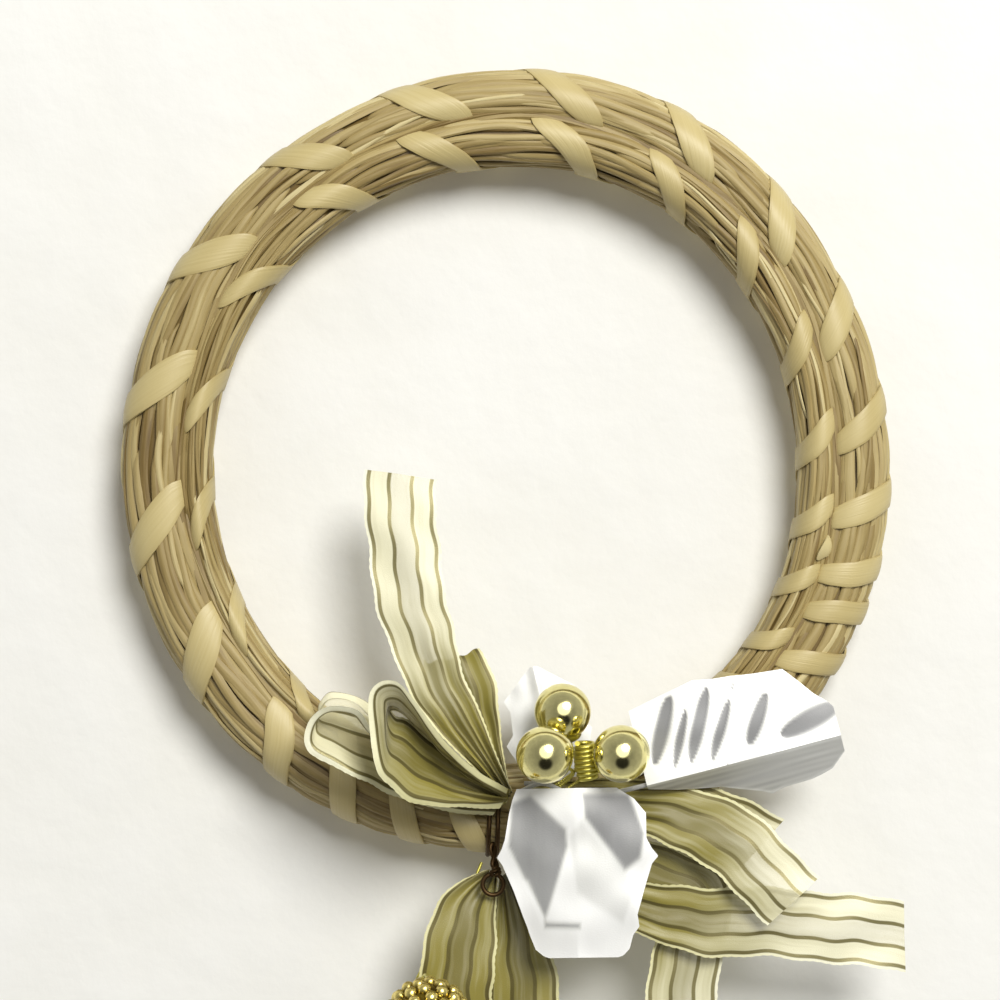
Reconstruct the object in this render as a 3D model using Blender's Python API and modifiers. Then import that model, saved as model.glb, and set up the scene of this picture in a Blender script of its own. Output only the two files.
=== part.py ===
"""Sweetgrass wreath: two grass coils bound with flat strips, and a wired bow with leaves, berries and a gilt cone.

Metres, +Z up, the front faces -Y. The origin is where the nail bears on the inside of the ring's top.
"""
import math

import bmesh
import bpy
from mathutils import Vector

MM = 0.001
OBJECT_NAME = "sweetgrass_wreath"
CLEARANCE = 0.0003

# Ring, measured along the line between its two coils
RING_HALF_WIDTH = 0.0660
RING_HALF_HEIGHT = 0.0670
RING_STEPS = 48
NAIL_OFFSET = 0.0044

# The ring is uneven, as handwork is. At every 30 degrees clockwise from its lowest point: how far its outer edge, the
# crease between its coils and its inner edge lie further out than they would on an even ring, in millimetres.
UNEVENNESS = [
    (0.0, 0.0, 0.0), (0.5, -2.9, 0.8), (0.6, -3.2, 0.4), (0.6, -3.0, 0.0), (0.4, -2.0, -0.3), (0.5, -0.5, -0.5),
    (1.6, 0.6, 0.0), (1.7, 0.5, 0.5), (-0.2, -1.0, -0.4), (0.1, -2.3, -0.9), (0.8, -2.0, 0.2), (0.3, -1.0, 0.0),
    (0.0, 0.0, 0.0),
]

# Grass coils
COIL_WIDTH = 0.0073
COIL_DEPTH = 0.0140
VALLEY_DEPTH = 0.0015
STALK_RIDGES = 8
GROOVE_DEPTH = 0.0005

# Binding strips
STRIP_WIDTH = 0.0050
STRIP_THICKNESS = 0.0004
FIRST_STITCH = math.radians(-140.6)
WIDE_PITCH = math.radians(21.4)
WIDE_STITCHES = 7
NARROWING_STITCHES = 7
TIGHT_STITCHES = 10
FRONT_SHARE = 0.44
STRIP_START = 13

# Bow, tied to the front of the ring near its lowest point
TIE_SIDE = -0.0006
TIE_RISE = 0.0030
RIBBON_WIDTH = 0.0137
RIBBON_THICKNESS = 0.0004
RIBBON_CELL = 0.0050
LOOP_CELL = 0.0036
LEAF_THICKNESS = 0.0005
LEAF_STEM_WIDTH = 0.0012

# Florist wire
WIRE_RADIUS = 0.00045
WIRE_FIRST_TURN = -0.0030
WIRE_TURN_GAP = 0.0046
WIRE_EYE_RADIUS = 0.0020
EYE_POINTS = 8

# Berries and gilt cone
BERRY_RADIUS = 0.0054
STALK_RADIUS = 0.0003
CONE_RADIUS = 0.0090
CONE_LENGTH = 0.0260
CONE_SWELL = 0.18
CONE_KNOB = 0.0007
CONE_ROWS = 9
CONE_COLUMNS = 14

LANE_HALF = STRIP_THICKNESS + 1.5 * CLEARANCE
FRONT_FACE = -(COIL_DEPTH / 2 + CLEARANCE + STRIP_THICKNESS)
NAIL_ANGLE = math.asin(NAIL_OFFSET / RING_HALF_WIDTH)
RING_CENTRE = Vector((-NAIL_OFFSET, 0, LANE_HALF + COIL_WIDTH - RING_HALF_HEIGHT * math.cos(NAIL_ANGLE)))
TIE = RING_CENTRE + Vector((TIE_SIDE, FRONT_FACE, TIE_RISE - RING_HALF_HEIGHT))

# Places on the bow are (right, forward, up) from the tie, in millimetres.
WIRE_EYE = (-2.2, 6.4, -16.4)
WIRE_TWIST = (-1.9, 4.6, -12.9)
NECKS_FRONT = 8.7
NECKS_LOW = -3.4
NECKS_HIGH = 2.8
CONE_TOP = (-14.4, 16.8, -32.6)

# Each ribbon station gives its two edges, as drawn for a ribbon of DRAWN_WIDTH.
DRAWN_WIDTH = 0.0137
TAIL_UPRIGHT = [
    ((0.5, 4.9, -0.6), (1.5, 4.9, 1.2)),
    ((-5.0, 5.3, 5.0), (-1.5, 5.3, 8.0)),
    ((-12.5, 5.3, 12.5), (-4.5, 5.3, 16.0)),
    ((-18.5, 5.1, 21.0), (-8.5, 4.8, 25.5)),
    ((-23.2, 4.8, 32.5), (-10.3, 4.8, 34.5)),
    ((-25.7, 4.3, 43.5), (-12.2, 4.3, 44.0)),
    ((-26.6, 3.8, 53.0), (-13.0, 3.8, 52.0)),
    ((-26.8, 2.3, 63.0), (-13.1, 2.8, 61.0)),
]
LOOP_BACK = [
    ((0.0, 4.1, -0.2), (1.0, 4.1, 1.4)),
    ((-7.0, 3.3, 8.5), (-1.0, 3.3, 10.0)),
    ((-13.5, 2.8, 19.0), (-2.0, 2.8, 21.5)),
    ((-15.5, 0.3, 25.5), (-4.5, 0.3, 29.0)),
    ((-14.5, -2.7, 18.5), (-2.5, -2.7, 21.0)),
    ((-8.0, -0.4, 9.5), (-1.5, -0.4, 10.5)),
    ((0.0, 1.9, 0.2), (1.0, 1.9, 1.6)),
]
LOOP_FRONT = [
    ((0.5, 7.5, 1.5), (1.0, 5.7, 0.9)),
    ((-5.5, 14.3, 5.5), (-5.0, 6.5, 4.5)),
    ((-12.0, 19.3, 11.0), (-10.5, 7.3, 8.5)),
    ((-17.5, 21.3, 19.5), (-15.0, 8.3, 17.0)),
    ((-20.5, 21.3, 22.5), (-18.5, 8.3, 20.5)),
    ((-24.0, 21.3, 21.0), (-20.5, 8.3, 19.0)),
    ((-24.0, 21.3, 14.0), (-19.5, 8.3, 14.0)),
    ((-23.0, 21.3, 7.0), (-20.5, 8.3, 10.5)),
    ((-21.0, 20.3, 4.0), (-19.0, 8.3, 9.0)),
    ((-17.0, 18.3, 1.0), (-15.0, 8.3, 8.0)),
    ((-10.5, 14.3, -0.5), (-9.5, 7.8, 4.5)),
    ((-5.0, 10.3, -1.0), (-4.5, 6.8, 1.8)),
    ((-0.5, 7.5, -1.0), (0.5, 5.9, -0.6)),
]
LOOP_LEFT = [
    ((-1.5, 4.1, -1.6), (-1.0, 2.9, -0.8)),
    ((-10.5, 8.3, 0.2), (-10.5, 3.3, 4.5)),
    ((-20.0, 9.3, 6.0), (-18.0, 2.3, 11.0)),
    ((-26.0, 12.3, 14.0), (-26.0, 1.6, 18.0)),
    ((-28.0, 13.3, 18.0), (-29.5, 1.4, 20.5)),
    ((-33.0, 13.3, 18.0), (-33.0, 1.2, 20.5)),
    ((-36.0, 13.3, 15.0), (-36.0, 1.2, 18.0)),
    ((-36.5, 13.3, 10.5), (-36.5, 1.2, 13.5)),
    ((-32.5, 13.3, 7.5), (-33.0, 1.2, 10.5)),
    ((-27.0, 12.3, 4.5), (-27.0, 1.2, 7.5)),
    ((-20.0, 9.3, 1.0), (-19.0, 1.3, 4.0)),
    ((-10.5, 5.3, -2.0), (-9.5, 1.6, 0.0)),
    ((-2.0, 2.7, -3.2), (-1.5, 1.9, -2.2)),
]
TAIL_RIGHT = [
    ((3.5, 3.5, 1.4), (3.5, 3.9, -1.0)),
    ((18.5, 4.3, 1.5), (18.5, 4.8, -4.0)),
    ((33.5, 5.3, 2.0), (28.0, 6.8, -7.5)),
    ((45.0, 6.8, -1.0), (36.0, 8.3, -11.0)),
    ((53.0, 8.8, -8.0), (43.3, 9.8, -17.0)),
    ((60.0, 9.8, -14.5), (50.2, 10.3, -23.5)),
]
END_SHORT = [
    ((4.5, 2.4, 2.0), (4.5, 2.4, 0.0)),
    ((20.0, 2.6, 3.5), (20.0, 2.8, -3.0)),
    ((36.0, 3.2, 2.5), (30.0, 3.4, -7.5)),
    ((46.0, 3.8, 0.0), (38.0, 3.8, -10.5)),
    ((53.5, 4.2, -4.5), (44.5, 4.2, -14.5)),
]
TAIL_LEVEL = [
    ((3.0, 2.3, -13.2), (2.5, 2.5, -15.4)),
    ((18.5, 3.8, -14.5), (18.5, 4.3, -22.0)),
    ((28.0, 5.0, -16.5), (28.0, 5.8, -27.0)),
    ((37.5, 5.8, -17.0), (37.5, 6.3, -29.8)),
    ((49.0, 6.0, -17.2), (49.0, 6.5, -30.2)),
    ((58.5, 6.0, -17.7), (59.5, 6.5, -31.0)),
    ((67.0, 5.8, -18.5), (68.0, 6.3, -32.0)),
    ((76.5, 5.3, -19.8), (76.8, 5.3, -33.2)),
]
TAIL_LONG = [
    ((2.0, 1.3, -15.6), (3.0, 1.3, -13.4)),
    ((10.5, 1.7, -18.5), (17.0, 1.7, -8.5)),
    ((19.5, 2.3, -19.5), (29.0, 2.5, -9.2)),
    ((27.0, 2.8, -24.0), (37.5, 3.0, -15.5)),
    ((27.3, 3.1, -32.5), (40.5, 3.5, -28.0)),
    ((26.6, 3.0, -42.0), (40.2, 3.5, -41.0)),
    ((26.0, 1.3, -57.0), (39.7, 2.3, -57.0)),
    ((25.0, -0.7, -75.0), (38.6, 0.6, -76.0)),
]
TAIL_LOW_LEFT = [
    ((-3.2, 2.8, -14.0), (-1.5, 2.8, -15.5)),
    ((-9.0, 4.0, -16.5), (-1.6, 4.4, -20.5)),
    ((-13.5, 4.8, -21.0), (-1.8, 4.9, -26.5)),
    ((-15.5, 5.0, -28.5), (-1.9, 5.0, -33.0)),
    ((-15.8, 4.3, -38.5), (-2.1, 4.3, -41.0)),
    ((-14.0, 2.3, -54.0), (-0.5, 2.3, -56.0)),
]
TAIL_LOW_MIDDLE = [
    ((-1.0, 1.6, -15.8), (0.8, 1.6, -14.4)),
    ((-2.5, 2.4, -25.0), (6.5, 2.6, -23.0)),
    ((-3.5, 2.9, -32.5), (9.5, 3.1, -31.0)),
    ((-3.4, 2.6, -40.5), (10.3, 2.8, -40.0)),
    ((-4.5, 0.3, -61.5), (9.2, 0.5, -60.0)),
]

LOOPS = {"back": LOOP_BACK, "front": LOOP_FRONT, "left": LOOP_LEFT}
TAILS = {
    "tail_upright": TAIL_UPRIGHT,
    "tail_right": TAIL_RIGHT,
    "end_short": END_SHORT,
    "tail_level": TAIL_LEVEL,
    "tail_long": TAIL_LONG,
    "tail_low_left": TAIL_LOW_LEFT,
    "tail_low_middle": TAIL_LOW_MIDDLE,
}

# Berries: where each one's middle is, from the foot of the cluster, in berry radii, and how its stalk runs to the tie
CLUSTER = (13.0, 14.0, 9.4)
BERRIES = {
    "top": ((-0.37, -0.63, 1.39), [(13.6, 10.2, 6.5), (11.3, 8.2, 3.8), (7.2, 7.0, 1.0), (3.4, 6.4, -0.8)]),
    "left": ((-1.02, 0.85, 0.00), [(13.0, 11.7, 5.5), (11.0, 9.0, 3.0), (7.0, 7.8, 0.3), (3.4, 7.2, -1.7)]),
    "right": ((1.64, 0.67, 0.02), [(15.2, 10.9, 4.6), (12.0, 8.6, 2.2), (7.4, 7.6, -0.7), (3.4, 7.0, -2.6)]),
}
CONE_STALK = [(-15.0, 11.0, -33.0), (-16.2, 8.0, -34.6), (-16.9, 5.0, -35.2), (-15.8, 3.2, -33.0), (-11.5, 2.6, -26.0),
              (-7.0, 2.2, -18.6), (-4.4, 1.2, -12.8)]

# Leaf outlines: share of the length, then shares of the half width left and right of the midrib, going to the tip
HOLLY_BROAD = [
    (0.00, 0.45, 0.66), (0.065, 0.64, 0.71), (0.15, 0.77, 0.75), (0.30, 0.77, 0.80), (0.36, 0.83, 0.84),
    (0.405, 0.90, 0.89), (0.45, 0.83, 0.83), (0.60, 0.74, 0.71), (0.75, 0.66, 0.61), (0.82, 0.68, 0.56),
    (0.87, 0.61, 0.53), (0.95, 0.57, 0.47), (1.00, 0.44, 0.32),
]
HOLLY_LONG = [
    (0.00, 0.84, 0.10), (0.14, 0.91, 0.30), (0.35, 1.00, 0.50), (0.44, 0.96, 0.68), (0.54, 0.94, 0.87),
    (0.59, 0.92, 1.00), (0.66, 0.90, 0.91), (0.77, 0.84, 0.89), (0.84, 0.65, 0.84), (0.90, 0.48, 0.76),
    (0.96, 0.33, 0.45), (1.00, 0.12, 0.15),
]
HOLLY_SHORT = [
    (0.00, 0.45, 0.45), (0.18, 0.80, 0.80), (0.38, 1.00, 1.00), (0.46, 0.80, 0.80), (0.66, 0.74, 0.74),
    (0.76, 0.84, 0.84), (0.86, 0.52, 0.52), (1.00, 0.08, 0.08),
]

# Leaves: outline, stem from the tie, base, tip, half width, degrees that the halves fold back, and curl of the tip
LEAVES = {
    "right": (HOLLY_LONG, [(3.6, 5.6, -3.6), (9.0, 6.2, -3.0), (18.0, 8.0, 0.4)], (27.0, 11.2, 3.0), (63.5, 14.3, 12.5),
              0.0172, (10, 58), 0.003),
    "lower": (HOLLY_BROAD, [(3.0, 8.0, 1.5), (7.5, 10.0, 3.2)], (13.5, 12.4, 2.6), (13.9, 16.8, -28.9),
              0.0172, (5, 9), 0.003),
    "upper": (HOLLY_SHORT, [(3.8, 5.2, 2.8), (7.5, 4.4, 2.9)], (10.5, 3.4, 3.2), (5.5, 2.4, 25.0),
              0.0085, (8, 8), 0.001),
}


def clear_scene():
    """Remove every object that the file opens with."""
    for obj in list(bpy.data.objects):
        bpy.data.objects.remove(obj, do_unlink=True)


def make_collection():
    """The collection that all the parts go in."""
    collection = bpy.data.collections.new(OBJECT_NAME)
    bpy.context.scene.collection.children.link(collection)
    return collection


def make_material(name, colour, roughness, metallic=0.0):
    """A Principled material of one colour."""
    material = bpy.data.materials.new(name)
    material.use_nodes = True
    shader = material.node_tree.nodes["Principled BSDF"]
    shader.inputs["Base Color"].default_value = (*colour, 1.0)
    shader.inputs["Roughness"].default_value = roughness
    shader.inputs["Metallic"].default_value = metallic
    material.diffuse_color = (*colour, 1.0)
    return material


def add_mesh(name, bm, material, collection):
    """Turn a bmesh into a smooth-shaded object in the parts collection."""
    bmesh.ops.recalc_face_normals(bm, faces=bm.faces)
    mesh = bpy.data.meshes.new(name)
    bm.to_mesh(mesh)
    bm.free()
    mesh.shade_smooth()
    mesh.set_sharp_from_angle(angle=math.radians(50))
    mesh.materials.append(material)
    obj = bpy.data.objects.new(name, mesh)
    collection.objects.link(obj)
    return obj


def loft(rings, closed_run):
    """Skin a run of closed cross-sections that have the same number of points."""
    bm = bmesh.new()
    verts = [[bm.verts.new(point) for point in ring] for ring in rings]
    spans = len(verts) if closed_run else len(verts) - 1
    for i in range(spans):
        ring, after = verts[i], verts[(i + 1) % len(verts)]
        for j in range(len(ring)):
            k = (j + 1) % len(ring)
            bm.faces.new((ring[j], ring[k], after[k], after[j]))
    if not closed_run:
        bm.faces.new(verts[0])
        bm.faces.new(verts[-1])
    return bm


def sheet(rows):
    """An open grid of quads through rows of points."""
    bm = bmesh.new()
    verts = [[bm.verts.new(point) for point in row] for row in rows]
    for row, after in zip(verts, verts[1:]):
        for j in range(len(row) - 1):
            bm.faces.new((row[j], row[j + 1], after[j + 1], after[j]))
    return bm


def thicken(obj, thickness):
    """Give an open sheet its thickness, half to each side."""
    solid = obj.modifiers.new("thickness", "SOLIDIFY")
    solid.thickness = thickness
    solid.offset = 0.0
    solid.use_even_offset = True


def add_tube(name, points, radius, material, collection):
    """A round wire through points, with filled ends."""
    curve = bpy.data.curves.new(name, "CURVE")
    curve.dimensions = "3D"
    curve.bevel_depth = radius
    curve.bevel_resolution = 1
    curve.use_fill_caps = True
    spline = curve.splines.new("POLY")
    spline.points.add(len(points) - 1)
    for target, point in zip(spline.points, points):
        target.co = (*point, 1.0)
    curve.materials.append(material)
    obj = bpy.data.objects.new(name, curve)
    collection.objects.link(obj)
    return obj


def smooth_point(points, position):
    """Point of a Catmull-Rom curve through the points, at a position counted in stations."""
    last = len(points) - 1
    i = min(int(position), last - 1)
    f = position - i
    before, here = points[max(i - 1, 0)], points[i]
    there, after = points[i + 1], points[min(i + 2, last)]
    return (here * 2 + (there - before) * f + (before * 2 - here * 5 + there * 4 - after) * f * f
            + (here * 3 - before - there * 3 + after) * f ** 3) / 2


def uneven(angle, outward):
    """The distance out from the centreline, shifted by the ring's unevenness at a clockwise angle from its top."""
    stations = [Vector(station) * MM for station in UNEVENNESS]
    position = ((angle / (2 * math.pi) + 0.5) % 1) * (len(stations) - 1)
    outer, crease, inner = smooth_point(stations, position)
    share = abs(outward) / (LANE_HALF + COIL_WIDTH)
    return outward + crease + ((outer if outward > 0 else inner) - crease) * share


def ring_point(angle, outward, depth):
    """Point at a clockwise angle from the top of the ring, out from its centreline, and back from its middle."""
    line = Vector((RING_HALF_WIDTH * math.sin(angle), 0, RING_HALF_HEIGHT * math.cos(angle)))
    normal = Vector((math.sin(angle) / RING_HALF_WIDTH, 0, math.cos(angle) / RING_HALF_HEIGHT)).normalized()
    return RING_CENTRE + line + normal * uneven(angle, outward) + Vector((0, depth, 0))


def coil_corners():
    """Ridge tops of the outer coil's section, as (outward, depth), from the front of the lane to its back."""
    crease = math.pi - math.asin(1 - VALLEY_DEPTH / (COIL_DEPTH / 2))
    step = 2 * crease / (STALK_RIDGES - 1)
    across = COIL_WIDTH / (math.cos(step / 2) - math.cos(crease))
    middle = LANE_HALF - across * math.cos(crease)
    angles = [crease - step * k for k in range(STALK_RIDGES)]
    return [(middle + across * math.cos(a), -COIL_DEPTH / 2 * math.sin(a)) for a in angles]


def offset_corners(corners, distance):
    """The corners moved out so that every side of the section lies a distance further out."""
    moved = []
    for k, (x, y) in enumerate(corners):
        before, after = corners[k - 1], corners[(k + 1) % len(corners)]
        a = Vector((x - before[0], y - before[1])).normalized()
        b = Vector((after[0] - x, after[1] - y)).normalized()
        normal_a, normal_b = Vector((-a.y, a.x)), Vector((-b.y, b.x))
        bisector = (normal_a + normal_b).normalized()
        reach = distance / bisector.dot(normal_a)
        moved.append((x - bisector.x * reach, y - bisector.y * reach))
    return moved


def coil_section():
    """Section of the outer coil, with a groove between neighbouring stalk ridges."""
    tops = coil_corners()
    section = [tops[0]]
    for (x0, y0), (x1, y1) in zip(tops, tops[1:]):
        run = Vector((x1 - x0, y1 - y0)).normalized()
        section.append(((x0 + x1) / 2 - run.y * GROOVE_DEPTH, (y0 + y1) / 2 + run.x * GROOVE_DEPTH))
        section.append((x1, y1))
    return section


def stitch_angles():
    """Clockwise angle of every stitch: wide over the left and top, narrowing down the right, tight below."""
    narrowing = sum(i / (NARROWING_STITCHES + 1) for i in range(1, NARROWING_STITCHES + 1))
    wide_part = WIDE_STITCHES + NARROWING_STITCHES - narrowing
    tight_pitch = (2 * math.pi - WIDE_PITCH * wide_part) / (TIGHT_STITCHES + narrowing)
    pitches = [WIDE_PITCH] * WIDE_STITCHES
    for i in range(1, NARROWING_STITCHES + 1):
        pitches.append(WIDE_PITCH - (WIDE_PITCH - tight_pitch) * i / (NARROWING_STITCHES + 1))
    pitches += [tight_pitch] * TIGHT_STITCHES
    angles = [FIRST_STITCH]
    for pitch in pitches[:-1]:
        angles.append(angles[-1] + pitch)
    return angles


def stitch_angle(position, angles):
    """Clockwise angle at a position counted in stitches, which may run past the last one."""
    count = len(angles)
    whole = math.floor(position)
    turns, i = divmod(whole, count)
    here = angles[i]
    there = angles[i + 1] if i + 1 < count else angles[0] + 2 * math.pi
    return here + (there - here) * (position - whole) + turns * 2 * math.pi


def strip_stations(side):
    """Corner number and stitch position along one strip, for the outer (1) or the inner (-1) coil."""
    front = STALK_RIDGES // 2
    half = (STALK_RIDGES - 1) / 2
    turn = []
    for step in range(STALK_RIDGES):
        corner = step
        progress = step / half
        if side > 0:
            corner = (front - 1 - step) % STALK_RIDGES
            progress = (step + 0.5) / half if step < front else 1 + (step - front) / half
        if progress <= 1:
            turn.append((corner, FRONT_SHARE * (progress - 0.5)))
        else:
            turn.append((corner, FRONT_SHARE / 2 + (1 - FRONT_SHARE) * (progress - 1)))
    turns = len(stitch_angles()) + (1 if side > 0 else 0)
    stations = [(corner, STRIP_START + i + shift) for i in range(turns) for corner, shift in turn]
    return stations[front:-front] if side > 0 else stations


def add_coil(name, side, material, collection):
    """One grass coil; side is 1 for the outer and -1 for the inner."""
    section = coil_section()
    rings = []
    for i in range(RING_STEPS):
        angle = 2 * math.pi * i / RING_STEPS
        rings.append([ring_point(angle, side * x, y) for x, y in section])
    return add_mesh(name, loft(rings, True), material, collection)


def add_strip(name, side, material, collection):
    """The flat strip wound round one coil; it starts and ends in the lane between the coils."""
    under = offset_corners(coil_corners(), CLEARANCE)
    over = offset_corners(coil_corners(), CLEARANCE + STRIP_THICKNESS)
    angles = stitch_angles()
    stations = [(corner, stitch_angle(position, angles)) for corner, position in strip_stations(side)]
    line = [ring_point(angle, side * under[corner][0], under[corner][1]) for corner, angle in stations]
    rings = []
    for i, (corner, angle) in enumerate(stations):
        run = line[min(i + 1, len(line) - 1)] - line[max(i - 1, 0)]
        tangent = Vector((math.cos(angle), 0, -math.sin(angle)))
        crossing = math.sqrt(max(run.length_squared - run.dot(tangent) ** 2, 0))
        spread = STRIP_WIDTH / 2 * run.length / crossing / (RING_HALF_WIDTH + side * COIL_WIDTH / 2)
        rings.append([
            ring_point(angle - spread, side * under[corner][0], under[corner][1]),
            ring_point(angle + spread, side * under[corner][0], under[corner][1]),
            ring_point(angle + spread, side * over[corner][0], over[corner][1]),
            ring_point(angle - spread, side * over[corner][0], over[corner][1]),
        ])
    return add_mesh(name, loft(rings, False), material, collection)


def at_tie(right, forward, up):
    """Point given from the tie in millimetres: to the right, towards the viewer and up."""
    return TIE + Vector((right, -forward, up)) * MM


def wire_turn(right, skipped):
    """One turn of wire round both coils, in a plane this far right of the tie, going up over the front."""
    corners = offset_corners(coil_corners(), 2 * CLEARANCE + STRIP_THICKNESS + WIRE_RADIUS)
    angle = math.pi - math.asin((TIE_SIDE + right) / RING_HALF_WIDTH)
    front = STALK_RIDGES // 2
    order = [(1, k) for k in range(front - 1, skipped, -1)] + [(-1, k) for k in range(skipped + 1, front)]
    order += [(-1, k) for k in range(front, STALK_RIDGES - 1)] + [(1, k) for k in range(STALK_RIDGES - 2, front - 1, -1)]
    return [ring_point(angle, side * corners[k][0], corners[k][1]) for side, k in order]


def add_wire(material, collection):
    """Florist wire: an eye below the ring, a turn round the ring, and a turn that also holds the bow's necks."""
    eye_centre = at_tie(*WIRE_EYE)
    points = []
    for i in range(EYE_POINTS):
        angle = math.radians(60 - 300 * i / (EYE_POINTS - 1))
        points.append(eye_centre + Vector((math.cos(angle), 0, math.sin(angle))) * WIRE_EYE_RADIUS)
    points.append(at_tie(*WIRE_TWIST))
    points += wire_turn(WIRE_FIRST_TURN, 0)
    second = WIRE_FIRST_TURN + WIRE_TURN_GAP
    held = wire_turn(second, 1)
    front_corners = STALK_RIDGES // 2 - 2
    points += held[:front_corners]
    points.append(at_tie(second / MM, NECKS_FRONT, NECKS_LOW))
    points.append(at_tie(second / MM, NECKS_FRONT, NECKS_HIGH))
    points += held[front_corners:]
    return add_tube("florist_wire", points, WIRE_RADIUS, material, collection)


def add_ribbon(name, stations, cell, held, material, collection):
    """A ribbon between two smooth edges; a change of its width leaves the held share of each station in place."""
    grown = RIBBON_WIDTH / DRAWN_WIDTH - 1
    left, right = [], []
    for first, second in stations:
        a, b = at_tie(*first), at_tie(*second)
        left.append(a - (b - a) * grown * held)
        right.append(b + (b - a) * grown * (1 - held))
    middles = [(a + b) / 2 for a, b in zip(left, right)]
    length = sum((b - a).length for a, b in zip(middles, middles[1:]))
    count = max(2, round(length / cell))
    rows = []
    for i in range(count + 1):
        position = (len(stations) - 1) * i / count
        a, b = smooth_point(left, position), smooth_point(right, position)
        rows.append([a, (a + b) / 2, b])
    obj = add_mesh(name, sheet(rows), material, collection)
    thicken(obj, RIBBON_THICKNESS)
    return obj


def add_leaf(name, material, collection):
    """A pointed leaf that faces the viewer, its halves folded back and its tip curled back, on its stem."""
    outline, stem, base, tip, half_width, folds, curl = LEAVES[name]
    base, tip = at_tie(*base), at_tie(*tip)
    along = tip - base
    axis = along.normalized()
    normal = (Vector((0, -1, 0)) + axis * axis.y).normalized()
    left = normal.cross(axis)
    fold_left, fold_right = (math.radians(fold) for fold in folds)
    out_left = left * math.cos(fold_left) - normal * math.sin(fold_left)
    out_right = -left * math.cos(fold_right) - normal * math.sin(fold_right)
    rows = []
    run = [at_tie(*point) for point in stem] + [base - axis * LEAF_STEM_WIDTH]
    for i, middle in enumerate(run):
        way = (run[min(i + 1, len(run) - 1)] - run[max(i - 1, 0)]).normalized()
        across = (normal - way * normal.dot(way)).normalized().cross(way) * LEAF_STEM_WIDTH / 2
        rows.append([middle + across * reach for reach in (1.0, 0.5, 0.0, -0.5, -1.0)])
    for share, share_left, share_right in outline:
        middle = base + along * share - normal * curl * share * share
        row = [middle + out_left * half_width * share_left * reach for reach in (1.0, 0.5)]
        row.append(middle)
        row += [middle + out_right * half_width * share_right * reach for reach in (0.5, 1.0)]
        rows.append(row)
    obj = add_mesh("leaf_" + name, sheet(rows), material, collection)
    thicken(obj, LEAF_THICKNESS)
    return obj


def add_berry(name, material, collection):
    """A round berry and its stalk, which starts just under the berry's skin line and runs to the tie."""
    place, route = BERRIES[name]
    centre = at_tie(*CLUSTER) + Vector((place[0], -place[1], place[2])) * BERRY_RADIUS
    bm = bmesh.new()
    bmesh.ops.create_uvsphere(bm, u_segments=12, v_segments=8, radius=BERRY_RADIUS)
    bmesh.ops.translate(bm, verts=bm.verts, vec=centre)
    add_mesh("berry_" + name, bm, material, collection)
    points = [at_tie(*point) for point in route]
    outward = (points[0] - centre).normalized()
    start = centre + outward * (BERRY_RADIUS + CLEARANCE)
    return add_tube("berry_stalk_" + name, [start] + points, STALK_RADIUS, material, collection)


def add_cone(material, collection):
    """The knobbly gilt cone, widest near its top, with staggered knobs, and its stalk round the ribbon to the tie."""
    top = at_tie(*CONE_TOP)
    rings = []
    for j in range(1, CONE_ROWS):
        turn = math.pi * j / CONE_ROWS
        radius = CONE_RADIUS * math.sin(turn) * (1 + CONE_SWELL * math.cos(turn))
        drop = CONE_LENGTH / 2 * (1 - math.cos(turn))
        ring = []
        for i in range(CONE_COLUMNS):
            angle = 2 * math.pi * i / CONE_COLUMNS
            reach = radius + CONE_KNOB * (1 if (i + j) % 2 else -1)
            ring.append(top + Vector((reach * math.cos(angle), reach * math.sin(angle), -drop)))
        rings.append(ring)
    add_mesh("gilt_cone", loft(rings, False), material, collection)
    shoulder = CONE_LENGTH / 2 * (1 - math.cos(math.pi / CONE_ROWS))
    start = top + Vector((0, 0, CLEARANCE - shoulder))
    points = [start] + [at_tie(*point) for point in CONE_STALK]
    return add_tube("cone_stalk", points, STALK_RADIUS, material, collection)


def main():
    """Build every piece."""
    clear_scene()
    parts = make_collection()
    grass = make_material("grass", (0.36, 0.25, 0.10), 0.7)
    straw = make_material("straw", (0.68, 0.56, 0.30), 0.55)
    wire = make_material("wire", (0.05, 0.03, 0.02), 0.4, 0.8)
    organza = make_material("organza", (0.72, 0.68, 0.45), 0.5)
    satin = make_material("satin", (0.62, 0.62, 0.60), 0.35)
    gold = make_material("gold", (0.75, 0.62, 0.25), 0.15, 1.0)

    for name, side in (("outer", 1), ("inner", -1)):
        add_coil("grass_coil_" + name, side, grass, parts)
        add_strip("binding_strip_" + name, side, straw, parts)
    add_wire(wire, parts)
    for name, stations in LOOPS.items():
        add_ribbon("ribbon_loop_" + name, stations, LOOP_CELL, 1.0, organza, parts)
    for name, stations in TAILS.items():
        add_ribbon("ribbon_" + name, stations, RIBBON_CELL, 0.5, organza, parts)
    for name in LEAVES:
        add_leaf(name, satin, parts)
    for name in BERRIES:
        add_berry(name, gold, parts)
    add_cone(gold, parts)


if __name__ == "__main__":
    main()
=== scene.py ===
"""Looks of the sweetgrass wreath: dry grass, flat straw strips, striped organza, satin leaves and gold trim.

Metres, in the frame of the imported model: +Z up, the front faces -Y, and the origin is where the nail bears.
"""
import math
import random

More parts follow.
